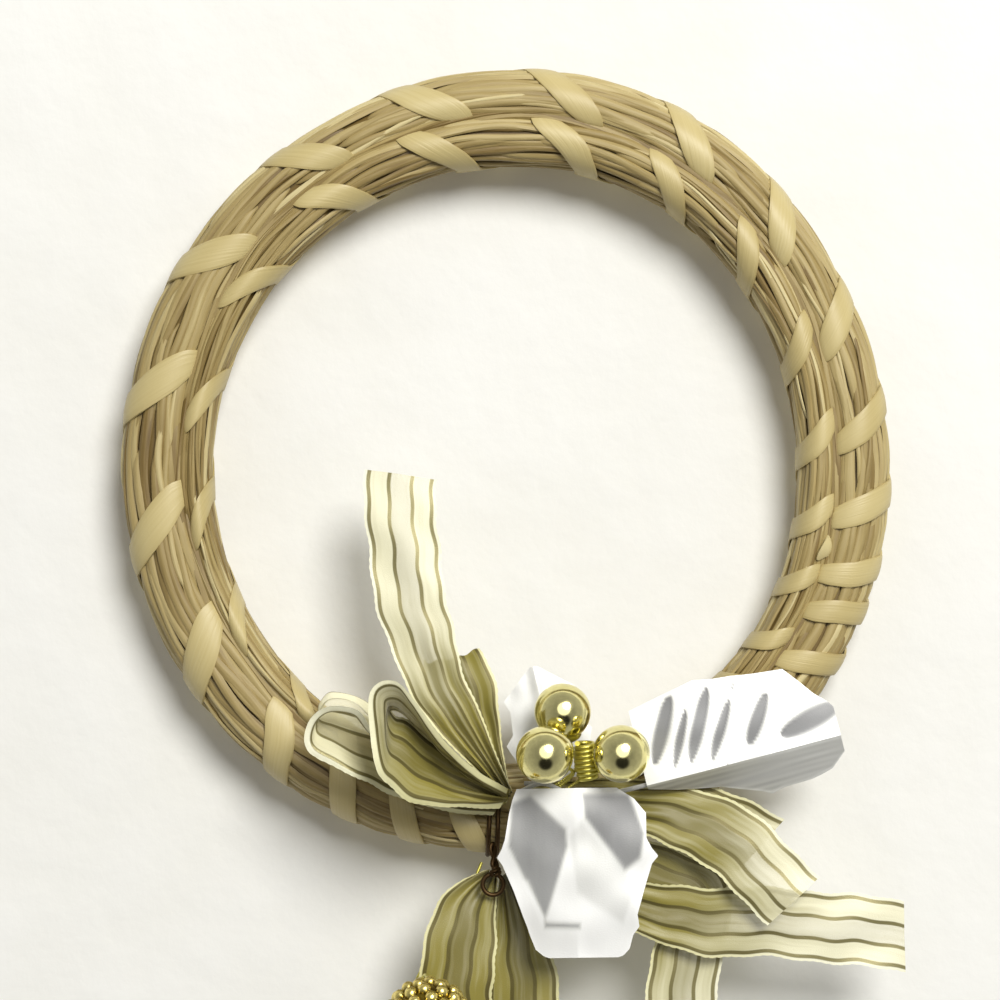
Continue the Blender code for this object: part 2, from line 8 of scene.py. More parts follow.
import bmesh
import bpy
import numpy as np
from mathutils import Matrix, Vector


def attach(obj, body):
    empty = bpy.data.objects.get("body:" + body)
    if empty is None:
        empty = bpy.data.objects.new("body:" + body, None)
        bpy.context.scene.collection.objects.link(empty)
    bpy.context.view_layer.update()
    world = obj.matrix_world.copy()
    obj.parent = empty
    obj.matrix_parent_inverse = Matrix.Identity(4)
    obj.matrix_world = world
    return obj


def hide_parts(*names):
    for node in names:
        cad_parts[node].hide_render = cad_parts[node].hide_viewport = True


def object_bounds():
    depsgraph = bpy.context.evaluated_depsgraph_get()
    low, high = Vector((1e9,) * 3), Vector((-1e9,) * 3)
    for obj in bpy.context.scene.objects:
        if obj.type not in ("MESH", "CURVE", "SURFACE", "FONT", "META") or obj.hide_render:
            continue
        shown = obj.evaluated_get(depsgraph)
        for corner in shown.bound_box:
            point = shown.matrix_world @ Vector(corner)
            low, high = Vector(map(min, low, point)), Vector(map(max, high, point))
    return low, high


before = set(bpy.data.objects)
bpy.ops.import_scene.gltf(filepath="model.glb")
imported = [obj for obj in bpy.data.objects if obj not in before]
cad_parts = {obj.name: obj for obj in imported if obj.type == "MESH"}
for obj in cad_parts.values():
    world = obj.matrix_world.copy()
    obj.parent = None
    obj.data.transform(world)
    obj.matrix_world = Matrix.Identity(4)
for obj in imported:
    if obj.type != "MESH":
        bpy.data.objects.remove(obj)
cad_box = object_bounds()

MM = 0.001
SEED = 7

# Camera: straight on, and how wide its view is at the ring
EYE = (-0.00587, -0.6, -0.0656)
VIEW_WIDTH = 0.1958
SENSOR = 36.0

# Ring, as the model was made; here the coils lie closer together, and only their far edges are the model's.
# A half band is one coil's width with its half of the lane.
RING_HALF_WIDTH = 0.066
RING_HALF_HEIGHT = 0.067
NAIL_OFFSET = 0.0044
HALF_BAND = 0.00815
LANE_HALF = 0.00025
COIL_WIDTH = HALF_BAND - LANE_HALF
COIL_DEPTH = 0.014
VALLEY_DEPTH = 0.0013
NAIL_ANGLE = math.asin(NAIL_OFFSET / RING_HALF_WIDTH)
RING_CENTRE = np.array((-NAIL_OFFSET, 0, HALF_BAND - RING_HALF_HEIGHT * math.cos(NAIL_ANGLE)))
TIE_SIDE = -0.0006
TIE_FRONT = -0.0077
TIE_RISE = 0.003
TIE = RING_CENTRE + np.array((TIE_SIDE, TIE_FRONT, TIE_RISE - RING_HALF_HEIGHT))

# At every 30 degrees clockwise from the lowest point: how far the ring's outer edge, the crease between its
# coils and its inner edge lie further out than on an even ring, in mm
UNEVENNESS = [
    (0, 0, 0), (0.5, -2.9, 0.8), (0.6, -3.2, 0.4), (0.6, -3, 0), (0.4, -2, -0.3),
    (0.5, -0.5, -0.5), (1.6, 0.6, 0), (1.7, 0.5, 0.5), (-0.2, -1, -0.4), (0.1, -2.3, -0.9),
    (0.8, -2, 0.2), (0.3, -1, 0), (0, 0, 0),
]

# Binding strips: where stitches show, in degrees clockwise from the top, on the outer (1) and inner coil (-1)
STITCHES = {
    1: [-152.7, -140.4, -121.3, -99.7, -77.1, -55.0, -33.2, -12.9, 9.5, 30.2, 49.0, 66.8, 83.9, 97.0, 107.6,
        113.7, 122.7],
    -1: [-139.5, -119.8, -98.9, -78.3, -55.0, -33.2, -12.9, 11.4, 30.6, 49.4, 68.8, 85.9, 99.9, 111.5, 123.4],
}
STITCH_COUNT = 24
FRONT_SHARE = 0.44
STRIP_START = 18
STRIP_WIDTH = 0.005
STRIP_THICKNESS = 0.00035
# A strip narrows to this share of its width where its stitches are closest
TIGHT_SHARE = 0.84
CLOSE_PITCH, OPEN_PITCH = 9.0, 18.0
# It stands off the stalks by a little, is crowned, and has rounded edges
STRIP_GAP = 0.00002
STRIP_CROWN = 0.00016
STRIP_EDGE = 0.00005


def put_in_scene(thing):
    """Links a new object to the scene."""
    bpy.context.scene.collection.objects.link(thing)


def at_tie(points):
    """Points given from the tie in millimetres: to the right, towards the viewer and up."""
    return TIE + np.array(points) * (MM, -MM, MM)


def spline(points, at):
    """Catmull-Rom curve through the points, at positions counted in points."""
    points, at = np.asarray(points, float), np.asarray(at, float)
    last = len(points) - 1
    i = np.clip(at.astype(int), 0, last - 1)
    f = (at - i)[:, None]
    before, here = points[np.maximum(i - 1, 0)], points[i]
    there, after = points[i + 1], points[np.minimum(i + 2, last)]
    return (here * 2 + (there - before) * f + (before * 2 - here * 5 + there * 4 - after) * f ** 2
            + (here * 3 - before - there * 3 + after) * f ** 3) / 2


def curve(points, count):
    """A smooth curve of so many points through the given ones."""
    return spline(points, np.linspace(0, len(points) - 1, count))


def distances(line):
    """How far along a line each of its points lies."""
    return np.concatenate([[0], np.cumsum(np.linalg.norm(np.diff(line, axis=0), axis=1))])


def grain_at(across, along, own):
    """Grain positions of a grid: across the piece, along it, and a number of the piece's own."""
    return np.stack(np.broadcast_arrays(across, along, own), -1)


def unit(vectors):
    """Vectors brought to length 1."""
    return vectors / np.maximum(np.linalg.norm(vectors, axis=-1, keepdims=True), 1e-12)


SHARP_ANGLE = math.radians(48)


class Shape:
    """Grids of points gathered for one piece, with a tint and a grain position at every point."""

    def __init__(self):
        self.points, self.faces, self.tints, self.grains = [], [], [], []
        self.count = 0

    def add_grid(self, grid, tint=0.5, grain=None, closed=False, capped=False):
        """Rows along, columns across; closed joins the last column to the first, capped fills both ends."""
        rows, columns = grid.shape[:2]
        index = np.arange(rows * columns).reshape(rows, columns) + self.count
        after = np.roll(index, -1, axis=1) if closed else index[:, 1:]
        here = index if closed else index[:, :-1]
        quads = np.stack([here[:-1], after[:-1], after[1:], here[1:]], axis=-1).reshape(-1, 4)
        self.faces += quads.tolist()
        if capped:
            self.faces += [index[0, ::-1].tolist(), index[-1].tolist()]
        self.points.append(grid.reshape(-1, 3))
        self.tints.append(np.broadcast_to(tint, (rows, columns)).reshape(-1))
        blank = np.zeros((rows, columns, 3)) if grain is None else grain
        self.grains.append(blank.reshape(-1, 3))
        self.count += rows * columns

    def add_solid(self, grid, tint, grain=None):
        """A grid closed on itself, with both ends filled."""
        self.add_grid(grid, tint, grain, closed=True, capped=True)

    def add_tube(self, path, radii, sides, tint):
        """A tube along a path."""
        self.add_solid(tube_grid(path, radii, sides), tint)

    def make(self, name, material, solid=True):
        """The finished piece, riding on the root body in place of the CAD node of its name."""
        mesh = bpy.data.meshes.new(name)
        mesh.from_pydata(np.concatenate(self.points).tolist(), [], self.faces)
        mesh.attributes.new("tint", "FLOAT", "POINT").data.foreach_set(
            "value", np.concatenate(self.tints).astype(np.float32))
        mesh.attributes.new("grain", "FLOAT_VECTOR", "POINT").data.foreach_set(
            "vector", np.concatenate(self.grains).astype(np.float32).ravel())
        if solid:
            bm = bmesh.new()
            bm.from_mesh(mesh)
            bmesh.ops.recalc_face_normals(bm, faces=bm.faces)
            bm.to_mesh(mesh)
            bm.free()
        mesh.shade_smooth()
        mesh.set_sharp_from_angle(angle=SHARP_ANGLE)
        mesh.materials.append(material)
        piece = bpy.data.objects.new(name, mesh)
        put_in_scene(piece)
        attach(piece, "root")
        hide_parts(name)
        return piece


def tube_grid(path, radii, sides):
    """Rings round a path, turned as little as it allows."""
    path = np.asarray(path, float)
    tangents = unit(np.gradient(path, axis=0))
    radii = np.broadcast_to(radii, len(path))
    normal = np.cross(tangents[0], (0.31, 0.57, 0.76))
    turn = np.linspace(0, math.tau, sides, endpoint=False)
    rings = []
    for point, tangent, radius in zip(path, tangents, radii):
        normal = normal - tangent * normal.dot(tangent)
        normal = normal / np.linalg.norm(normal)
        side = np.cross(tangent, normal)
        rings.append(point + radius * (np.outer(np.cos(turn), normal) + np.outer(np.sin(turn), side)))
    return np.array(rings)


# Materials


def new_material(name):
    """A material with its node tree and its Principled shader."""
    material = bpy.data.materials.new(name)
    material.use_nodes = True
    return material, material.node_tree, material.node_tree.nodes["Principled BSDF"]


def feed(tree, node, inputs):
    """Sets a node's inputs to plain values, or links them to the outputs of others."""
    for key, value in inputs.items():
        if isinstance(value, bpy.types.NodeSocket):
            tree.links.new(value, node.inputs[key])
        else:
            node.inputs[key].default_value = value


def add_node(tree, kind, inputs, output=0, **settings):
    """Adds a shader node of a kind with its settings and inputs, and returns one of its outputs."""
    node = tree.nodes.new("ShaderNode" + kind)
    for key, value in settings.items():
        setattr(node, key, value)
    feed(tree, node, inputs)
    return node.outputs[output]


def tint_of(tree):
    """The tint at every point of a mesh."""
    return add_node(tree, "Attribute", {}, "Fac", attribute_name="tint")


def grain_of(tree):
    """The grain position at every point of a mesh."""
    return add_node(tree, "Attribute", {}, "Vector", attribute_name="grain")


def noise_of(tree, place, scale, detail=2.0):
    """Noise at a place."""
    return add_node(tree, "TexNoise", {"Vector": place, "Scale": scale, "Detail": detail}, "Fac")


def streaks(tree, stretch, detail=4.0):
    """Noise drawn out along the grain: stretch is its frequency across, along and between pieces."""
    scaled = add_node(tree, "VectorMath", {0: grain_of(tree), 1: stretch}, operation="MULTIPLY")
    return noise_of(tree, scaled, 1.0, detail)


def sum_of(tree, first, second, share):
    """first + (second - 0.5) * share."""
    centred = add_node(tree, "Math", {0: second, 1: 0.5}, operation="SUBTRACT")
    return add_node(tree, "Math", {0: centred, 1: share, 2: first}, operation="MULTIPLY_ADD")


def remap(tree, value, source, target):
    """A value moved from one range to another."""
    return add_node(tree, "MapRange", {
        "Value": value, "From Min": source[0], "From Max": source[1], "To Min": target[0],
        "To Max": target[1]}, "Result")


def ramp(tree, value, stops):
    """Colour ramp over a value; stops are (position, colour)."""
    node = tree.nodes.new("ShaderNodeValToRGB")
    elements = node.color_ramp.elements
    while len(elements) > 1:
        elements.remove(elements[-1])
    elements[0].position, elements[0].color = stops[0][0], (*stops[0][1], 1)
    for position, colour in stops[1:]:
        elements.new(position).color = (*colour, 1)
    tree.links.new(value, node.inputs["Fac"])
    return node.outputs["Color"]


def bump(tree, height, distance):
    """Normal for a shader, from a height."""
    inputs = {"Height": height, "Distance": distance, "Strength": 1.0}
    return add_node(tree, "Bump", inputs, "Normal")


def grass_material():
    """Dry stalks, honey to pale straw, with lengthwise streaks; brown where the tint is low, in the core, the
    lower layer and each stalk's underside, which is painted shade in the depths.
    """
    material, tree, shader = new_material("dry_grass")
    streak = streaks(tree, (2600, 130, 900))
    patch = streaks(tree, (120, 60, 500), 2.0)
    value = sum_of(tree, sum_of(tree, tint_of(tree), streak, 0.42), patch, 0.3)
    colour = ramp(tree, value, [
        (0.0, (0.105, 0.06, 0.014)), (0.22, (0.21, 0.14, 0.042)), (0.45, (0.35, 0.26, 0.098)),
        (0.7, (0.46, 0.36, 0.155)), (1.0, (0.66, 0.56, 0.29))])
    feed(tree, shader, {"Base Color": colour, "Roughness": 0.5, "Specular IOR Level": 0.35,
                        "Normal": bump(tree, streak, 0.00012)})
    return material


def straw_material():
    """Flat strips: pale straw with fine parallel grain, and darker along their edges, which is painted shade
    where they curve away from the light.
    """
    material, tree, shader = new_material("straw_strip")
    streak = streaks(tree, (3200, 60, 0), 3.0)
    patch = streaks(tree, (160, 90, 0), 2.0)
    value = sum_of(tree, sum_of(tree, tint_of(tree), streak, 0.34), patch, 0.34)
    colour = ramp(tree, value, [
        (0.0, (0.34, 0.255, 0.098)), (0.35, (0.49, 0.39, 0.165)), (0.62, (0.585, 0.48, 0.222)),
        (1.0, (0.69, 0.595, 0.32))])
    feed(tree, shader, {"Base Color": colour, "Roughness": 0.42, "Specular IOR Level": 0.4,
                        "Normal": bump(tree, streak, 0.00008)})
    return material


RIBBON_WIDTH = 0.0137
# Middles of the ribbon's stripes, half their width and how soft their edges are, as shares of its width
STRIPES = (0.06, 0.35, 0.67, 0.94)
STRIPE_HALF = 0.034
STRIPE_EDGE = 0.012
PLEAT_CONTRAST = 0.9


def greys(*levels):
    """Grey colours of the given levels."""
    return [(level,) * 3 for level in levels]


def organza_material():
    """Sheer cream ribbon: two fuller bands between pairs of olive-gold metallic stripes, a sheerer middle.

    Towards the knot, as the third grain value says, it is fuller and a dark olive gold, partly its denser
    cloth and partly painted shade, in streaks of painted pleat shade; its edges stay lighter.
    """
    material, tree, shader = new_material("organza_ribbon")
    across = tint_of(tree)
    threads = streaks(tree, (5200, 5200, 0), 2.0)
    # Streaks of painted pleat shade in the dark colours near the knot
    pleat_shade = streaks(tree, (900, 45, 0), 2.0)
    fullness_and_shade = add_node(tree, "SeparateXYZ", {0: grain_of(tree)}, "Z")
    gather_and_shade = sum_of(tree, fullness_and_shade, pleat_shade, PLEAT_CONTRAST)

    def field_ramp(edge, band, middle, stripe):
        """Ramp across the ribbon, from colours of the looped edges, the bands, the middle and the stripes."""
        stops, fields = [(0.0, edge)], [edge, band, middle, band, edge]
        for i, place in enumerate(STRIPES):
            low, high = place - STRIPE_HALF, place + STRIPE_HALF
            stops += [(low, fields[i]), (low + STRIPE_EDGE, stripe), (high - STRIPE_EDGE, stripe),
                      (high, fields[i + 1])]
        return ramp(tree, across, stops)

    def blend(flat, full):
        """The first value where the ribbon lies flat, the second near the knot, where it is bunched up and
        painted in shade.
        """
        return add_node(tree, "Mix", {"Factor": gather_and_shade, "A": flat, "B": full}, "Result",
                        data_type="RGBA")

    # Near the knot the colours turn dark olive, partly denser cloth and partly painted shade; the edges stay
    # lighter
    colour = blend(
        field_ramp((0.94, 0.92, 0.7), (0.93, 0.89, 0.6), (0.84, 0.79, 0.5), (0.25, 0.22, 0.095)),
        field_ramp((0.76, 0.72, 0.38), (0.29, 0.248, 0.048), (0.215, 0.183, 0.04), (0.135, 0.112, 0.028)))
    alpha = blend(field_ramp(*greys(0.95, 0.8, 0.5, 1.0)), field_ramp(*greys(1.0, 0.97, 0.94, 1.0)))
    feed(tree, shader, {
        "Base Color": colour, "Alpha": sum_of(tree, alpha, threads, 0.1),
        "Metallic": field_ramp(*greys(0.0, 0.0, 0.0, 0.35)), "Roughness": 0.4, "Sheen Weight": 0.1,
        "Normal": bump(tree, threads, 0.00005)})
    return material


def satin_material():
    """Silver-white satin, with a fine thread and a soft lustre."""
    material, tree, shader = new_material("silver_satin")
    threads = streaks(tree, (2600, 5200, 0), 1.0)
    patch = streaks(tree, (300, 120, 0), 3.0)
    value = sum_of(tree, sum_of(tree, tint_of(tree), threads, 0.04), patch, 0.14)
    colour = ramp(tree, value, [
        (0.0, (0.2, 0.2, 0.2)), (0.3, (0.4, 0.4, 0.39)), (0.6, (0.66, 0.66, 0.63)),
        (1.0, (0.93, 0.93, 0.91))])
    feed(tree, shader, {"Base Color": colour, "Metallic": 0.15, "Roughness": 0.45, "Sheen Weight": 0.15,
                        "Normal": bump(tree, threads, 0.00002)})
    return material


METAL_NOISE = 900.0
METAL_DULLING = 0.86


def metal_material(name, colour, roughness, unevenness, deep=None):
    """Bright or painted metal with slightly uneven gloss and tone; deep, if given, colours what lies deep, a
    painted shade in the hollows.
    """
    material, tree, shader = new_material(name)
    place = add_node(tree, "TexCoord", {}, "Object")
    noise = noise_of(tree, place, METAL_NOISE)
    if deep:
        stain_and_shade = ramp(tree, sum_of(tree, tint_of(tree), noise, 0.2), [(0.1, deep), (0.6, colour)])
    else:
        dull = tuple(level * METAL_DULLING for level in colour)
        stain_and_shade = ramp(tree, noise, [(0.3, dull), (0.7, colour)])
    gloss = remap(tree, noise, (0.0, 1.0), (roughness, roughness + unevenness))
    feed(tree, shader, {"Base Color": stain_and_shade, "Metallic": 1.0, "Roughness": gloss})
    return material


# Ring


RIDGES_PER_FRONT = 7
SMOOTHINGS = 12


def section_line():
    """Closed line round the outer coil's section from its outermost point over the front, its normals, its
    length and the length of its front half."""
    crease = math.pi - math.asin(1 - VALLEY_DEPTH / (COIL_DEPTH / 2))
    ridge = crease / RIDGES_PER_FRONT
    across = COIL_WIDTH / (math.cos(ridge) - math.cos(crease))
    angles = np.linspace(0, crease, 90)
    front = np.stack([LANE_HALF + across * (np.cos(angles) - math.cos(crease)),
                      -COIL_DEPTH / 2 * np.sin(angles)], 1)
    line = np.concatenate([front, front[::-1] * (1, -1)])
    far = distances(line)
    steps = np.linspace(0, far[-1], 401)[:-1]
    points = np.stack([np.interp(steps, far, line[:, i]) for i in (0, 1)], 1)
    for _ in range(SMOOTHINGS):
        points = (np.roll(points, 1, axis=0) + points * 2 + np.roll(points, -1, axis=0)) / 4
    run = np.roll(points, -1, axis=0) - np.roll(points, 1, axis=0)
    normals = unit(np.stack([-run[:, 1], run[:, 0]], 1))
    if normals[0, 0] < 0:
        normals = -normals
    front_arc = np.linalg.norm(np.diff(front, axis=0), axis=1).sum()
    return points, normals, far[-1], front_arc


SECTION, SECTION_NORMALS, PERIMETER, FRONT_ARC = section_line()
LANE_ARC = PERIMETER - 2 * FRONT_ARC


def on_coil(side, s, theta, lift):
    """Point on a coil: s runs round its section from its far edge over the front, theta from the top."""
    at = np.mod(s, PERIMETER) / PERIMETER * len(SECTION)
    places = np.arange(len(SECTION) + 1)
    out, back, normal_out, normal_back = (np.interp(at, places, np.append(row, row[0]))
                                          for row in (*SECTION.T, *SECTION_NORMALS.T))
    return on_ring(theta, side * (out + normal_out * lift), back + normal_back * lift)


TURN = np.linspace(-math.pi, math.pi, 721)
BULGE = spline(UNEVENNESS, (TURN / math.tau + 0.5) * (len(UNEVENNESS) - 1)) * MM


def on_ring(theta, outward, depth):
    """Point at a clockwise angle from the top, out from the ring's centreline and back from its middle."""
    theta, outward, depth = np.broadcast_arrays(theta, outward, depth)
    wrapped = np.mod(theta + math.pi, math.tau) - math.pi
    outer, crease, inner = (np.interp(wrapped, TURN, BULGE[:, i]) for i in range(3))
    share = np.abs(outward) / HALF_BAND
    outward = outward + crease + (np.where(outward > 0, outer, inner) - crease) * share
    flat, sine, cosine = np.zeros_like(theta), np.sin(theta), np.cos(theta)
    line = np.stack([RING_HALF_WIDTH * sine, flat, RING_HALF_HEIGHT * cosine], -1)
    normal = unit(np.stack([sine / RING_HALF_WIDTH, flat, cosine / RING_HALF_HEIGHT], -1))
    return RING_CENTRE + line + normal * outward[..., None] + np.stack([flat, depth, flat], -1)


def all_stitches(side):
    """Positions counted in stitches and their angles, over six turns; hidden stitches are evenly spaced."""
    seen = STITCHES[side]
    hidden = STITCH_COUNT - len(seen)
    gap = (seen[0] + 360 - seen[-1]) / (hidden + 1)
    angles = np.radians(seen + [seen[-1] + gap * (i + 1) for i in range(hidden)])
    turns = np.arange(-2, 4)
    return (np.concatenate([np.arange(STITCH_COUNT) + t * STITCH_COUNT for t in turns]),
            np.concatenate([angles + t * math.tau for t in turns]))


LADDER = {side: all_stitches(side) for side in (1, -1)}


def stitch_at(side, position):
    """Clockwise angle at a position counted in stitches."""
    return np.interp(position, *LADDER[side])


def wind(side, s):
    """How far a strip has wound, in stitches, where it crosses place s of its coil's section."""
    s = np.mod(s, PERIMETER)
    x = np.interp(s, np.linspace(0, PERIMETER, len(SECTION) + 1), np.append(SECTION[:, 0], SECTION[0, 0]))
    seen = np.clip((HALF_BAND - x) / COIL_WIDTH, 0, 1)
    front = np.minimum(0.8 * seen + 0.2 * s / FRONT_ARC, 1)
    back = np.clip((s - PERIMETER + FRONT_ARC) / FRONT_ARC, 0, 1)
    progress = np.where(s <= FRONT_ARC, FRONT_SHARE * (front - 0.5),
                        FRONT_SHARE / 2 + (1 - FRONT_SHARE) * back)
    return side * progress


def pinch(side, s, theta):
    """1 under the middle of a strip, falling to 0 away from it."""
    position = wind(side, s)
    places, angles = LADDER[side]
    nearest = np.round(np.interp(theta, angles, places) - position) + position
    return np.exp(-((theta - stitch_at(side, nearest)) * RING_HALF_WIDTH / PINCH_REACH) ** 2)


# How many stalks a coil has in its lower and upper layers, lying slantwise on top, and closing the crease
LOWER_STALKS = 22
UPPER_STALKS = 21
STRAY_BLADES = 16
SEAM_STALKS = 56
UPPER_TINTS = (0.28, 0.38, 0.45, 0.5, 0.55, 0.6, 0.66, 0.8)
CORE_SINK = 0.001
STALK_STEP = 0.0015
# How far a stalk wanders sideways, heaves, dips under a strip and dives in at its ends, and over what length
WANDER = 0.00025
HEAVE = 0.00013
PINCH = 0.00034
PINCH_REACH = 0.0046
DIVE = 0.0011
DIVE_REACH = 0.0016


def add_stalk(shape, side, start, length, place, width, depth, lift, tint, rng, slant=0.035):
    """One stalk along the ring on its coil: it wanders, dips under the strips and dives in at its ends."""
    along = np.linspace(0, length, max(6, int(length / STALK_STEP)))
    theta = start + along / RING_HALF_WIDTH
    phase, wave = rng.uniform(0, 6.3), rng.uniform(0.018, 0.034)
    drift = rng.uniform(-slant, slant)
    s = place + drift * (along - length / 2) + WANDER * np.sin(along * math.tau / wave + phase)
    dive = np.exp(-np.minimum(along, length - along) / DIVE_REACH)
    height = lift + HEAVE * np.sin(along / 0.0047 + phase * 3) - PINCH * pinch(side, s, theta) - DIVE * dive
    girth = (1 - 0.6 * dive) * (1 + 0.1 * np.sin(along / 0.0083 + phase * 5))
    turn = np.radians([0, 52, 90, 128, 180, 270]) + rng.uniform(-0.25, 0.25)
    wide = np.cos(turn)[None, :] * (width / 2 * girth)[:, None]
    high = np.sin(turn)[None, :] * (depth / 2 * girth)[:, None]
    grid = on_coil(side, s[:, None] + wide, theta[:, None], height[:, None] + high)
    grain = grain_at(wide, along[:, None], rng.uniform(0, 10))
    # Each stalk is tinted lighter on its outer side and darker under it, painted light and shade
    shade = np.clip(tint + 0.08 * np.sin(along / 0.011 + phase)[:, None] + high / depth * 0.16, 0, 1)
    shape.add_solid(grid, shade, grain)


def add_seam(shape, start, rng):
    """A short stalk along the crease, which closes the gap between the coils."""
    length = rng.uniform(0.022, 0.038)
    along = np.linspace(0, length, int(length / STALK_STEP))
    outward = rng.uniform(-0.0006, 0.0006) + 0.0004 * np.sin(along / 0.006 + start * 7)
    ends = np.exp(-np.minimum(along, length - along) / 0.002)
    depth = -(COIL_DEPTH / 2 - VALLEY_DEPTH) + 0.0002 + 0.001 * ends
    path = on_ring(start + along / RING_HALF_WIDTH, outward, depth)
    grid = tube_grid(path, rng.uniform(0.0006, 0.0009), 6)
    grain = grain_at(np.linspace(0, 0.002, 6)[None, :], along[:, None], rng.uniform(0, 10))
    shape.add_solid(grid, rng.choice([0.22, 0.32, 0.42, 0.52]), grain)


def build_coil(name, side, material):
    """A bundle of dry stalks: a core, a lower layer all round, a looser upper one and stray blades; the core
    and the lower layer are tinted dark as painted shade in the depths.

    The inner coil also has the short stalks of the crease.
    """
    rng = random.Random(SEED + side)
    shape = Shape()
    theta = np.linspace(0, math.tau, 121)[:, None]
    core = on_coil(side, np.linspace(0, PERIMETER, 25)[None, :-1], theta, -CORE_SINK)
    core[-1] = core[0]
    # The core's dark tint is painted shade in the gaps between the stalks
    shape.add_grid(core, 0.18, None, closed=True)
    circle = math.tau * RING_HALF_WIDTH
    # The lower layer's darker tints are painted shade beneath the upper one
    for k in range(LOWER_STALKS):
        place = (FRONT_ARC + LANE_ARC / 2) * (2 * (k + 0.5) / LOWER_STALKS - 1)
        begin = rng.uniform(0, math.tau)
        for half in range(2):
            add_stalk(shape, side, begin + half * math.pi, circle / 2 + 0.004, place, 0.0019, 0.0012,
                      -0.0007, rng.uniform(0.2, 0.48), rng)
    for k in range(UPPER_STALKS):
        place = (FRONT_ARC + 0.0003) * (2 * (k + rng.uniform(-0.25, 0.25)) / (UPPER_STALKS - 1) - 1)
        begin = rng.uniform(0, math.tau)
        left = circle
        while left > 0.02:
            length = min(left, rng.uniform(0.04, 0.12))
            gap = rng.choice([0.0, 0.0, 0.0, 0.006])
            tint = rng.choice(UPPER_TINTS)
            add_stalk(shape, side, begin, length, place, rng.uniform(0.0011, 0.0019),
                      rng.uniform(0.0008, 0.0011), rng.uniform(-0.00036, -0.00014), tint, rng)
            begin += (length + gap) / RING_HALF_WIDTH
            left -= length + gap
    for k in range(STRAY_BLADES):
        add_stalk(shape, side, rng.uniform(0, math.tau), rng.uniform(0.018, 0.045),
                  rng.uniform(0.15, 0.95) * FRONT_ARC, rng.uniform(0.0006, 0.001), 0.0005,
                  rng.uniform(0.0, 0.0001), rng.choice([0.25, 0.75, 0.92]), rng, 0.09)
    if side < 0:
        for k in range(SEAM_STALKS):
            add_seam(shape, (k + 0.5) / SEAM_STALKS * math.tau, rng)
    shape.make(name, material)


def strip_grid(side, s, theta, width):
    """A flat strip along places s and angles theta of a coil, a little crowned, with its grain and its shade,
    painted darker at its edges.
    """
    step = np.gradient(s)
    run = np.hypot(np.gradient(theta) * RING_HALF_WIDTH, step)
    lean = np.minimum(run / np.maximum(np.abs(step), 1e-9), 3.0)
    lean = np.convolve(np.pad(lean, 2, mode="edge"), np.ones(5) / 5, mode="valid")
    spread = width / 2 * lean / RING_HALF_WIDTH
    across = np.array([-1, -0.93, -0.7, -0.35, 0, 0.35, 0.7, 0.93, 1])
    columns = np.concatenate([across, across[::-1]])[None, :]
    top = STRIP_THICKNESS + STRIP_CROWN * (1 - across ** 2) - STRIP_EDGE * (np.abs(across) > 0.99)
    lifts = np.concatenate([top, np.zeros(len(across))])[None, :] + STRIP_GAP
    grid = on_coil(side, s[:, None], theta[:, None] + spread[:, None] * columns, lifts)
    grain = grain_at(columns * STRIP_WIDTH / 2, np.cumsum(run)[:, None], 0.0)
    # Painted shade: the tint falls towards both edges of the strip
    return grid, 0.6 - 0.2 * np.abs(columns) ** 4, grain


# The loose end of a strip: its middle and half its length as angles, half its width, how much it slants away
# from the crease, how far it lies from it and arches up, and its thickness
LOOSE_AT = math.radians(104.5)
LOOSE_REACH = 0.042
LOOSE_HALF = 0.0012
LOOSE_SLANT = 0.0009
LOOSE_ASIDE = 0.0006
LOOSE_ARCH = (0.0013, 0.0009)
LOOSE_THICKNESS = 0.0003


def add_loose_end(shape):
    """The pointed loose end of the inner coil's strip, which arches up out of the crease."""
    along = np.linspace(-1, 1, 14)[:, None]
    across = np.linspace(-1, 1, 9)[None, :]
    place = FRONT_ARC - LOOSE_ASIDE - LOOSE_SLANT * along + across * LOOSE_HALF * np.sqrt(1.05 - along ** 2)
    arch = LOOSE_ARCH[0] - LOOSE_ARCH[1] * along ** 2
    over, under = (on_coil(-1, place, LOOSE_AT + along * LOOSE_REACH, arch - sink)
                   for sink in (0.0, LOOSE_THICKNESS))
    shape.add_solid(np.concatenate([over, under[:, ::-1]], axis=1), 0.85)


def build_strip(name, side, material):
    """The flat strip wound round one coil, a little narrower where it dives between the coils."""
    rng = random.Random(SEED * 3 + side)
    one_turn = np.linspace(0, PERIMETER, 67)[:-1]
    if side < 0:
        one_turn = FRONT_ARC - one_turn
    turns = np.arange(STITCH_COUNT + 1)[:, None]
    s = (one_turn + turns * side * PERIMETER).ravel()
    position = (wind(side, one_turn) + (one_turn < 0) + turns + STRIP_START).ravel()
    theta = stitch_at(side, position)
    pitch = np.degrees(stitch_at(side, position + 0.6) - stitch_at(side, position - 0.6)) / 1.2
    wobble = np.interp(position, np.arange(0, 80), [rng.uniform(-0.07, 0.07) for _ in range(80)])
    tight = np.interp(pitch, [CLOSE_PITCH, OPEN_PITCH], [TIGHT_SHARE, 1.0])
    crease = np.exp(-((np.mod(s, PERIMETER) - FRONT_ARC) / 0.0016) ** 2)
    grid, shade, grain = strip_grid(side, s, theta, STRIP_WIDTH * tight * (1 + wobble - 0.16 * crease))
    shape = Shape()
    shape.add_solid(grid, shade + wobble[:, None] * 1.3, grain)
    if side < 0:
        add_loose_end(shape)
    shape.make(name, material)


# Ribbons


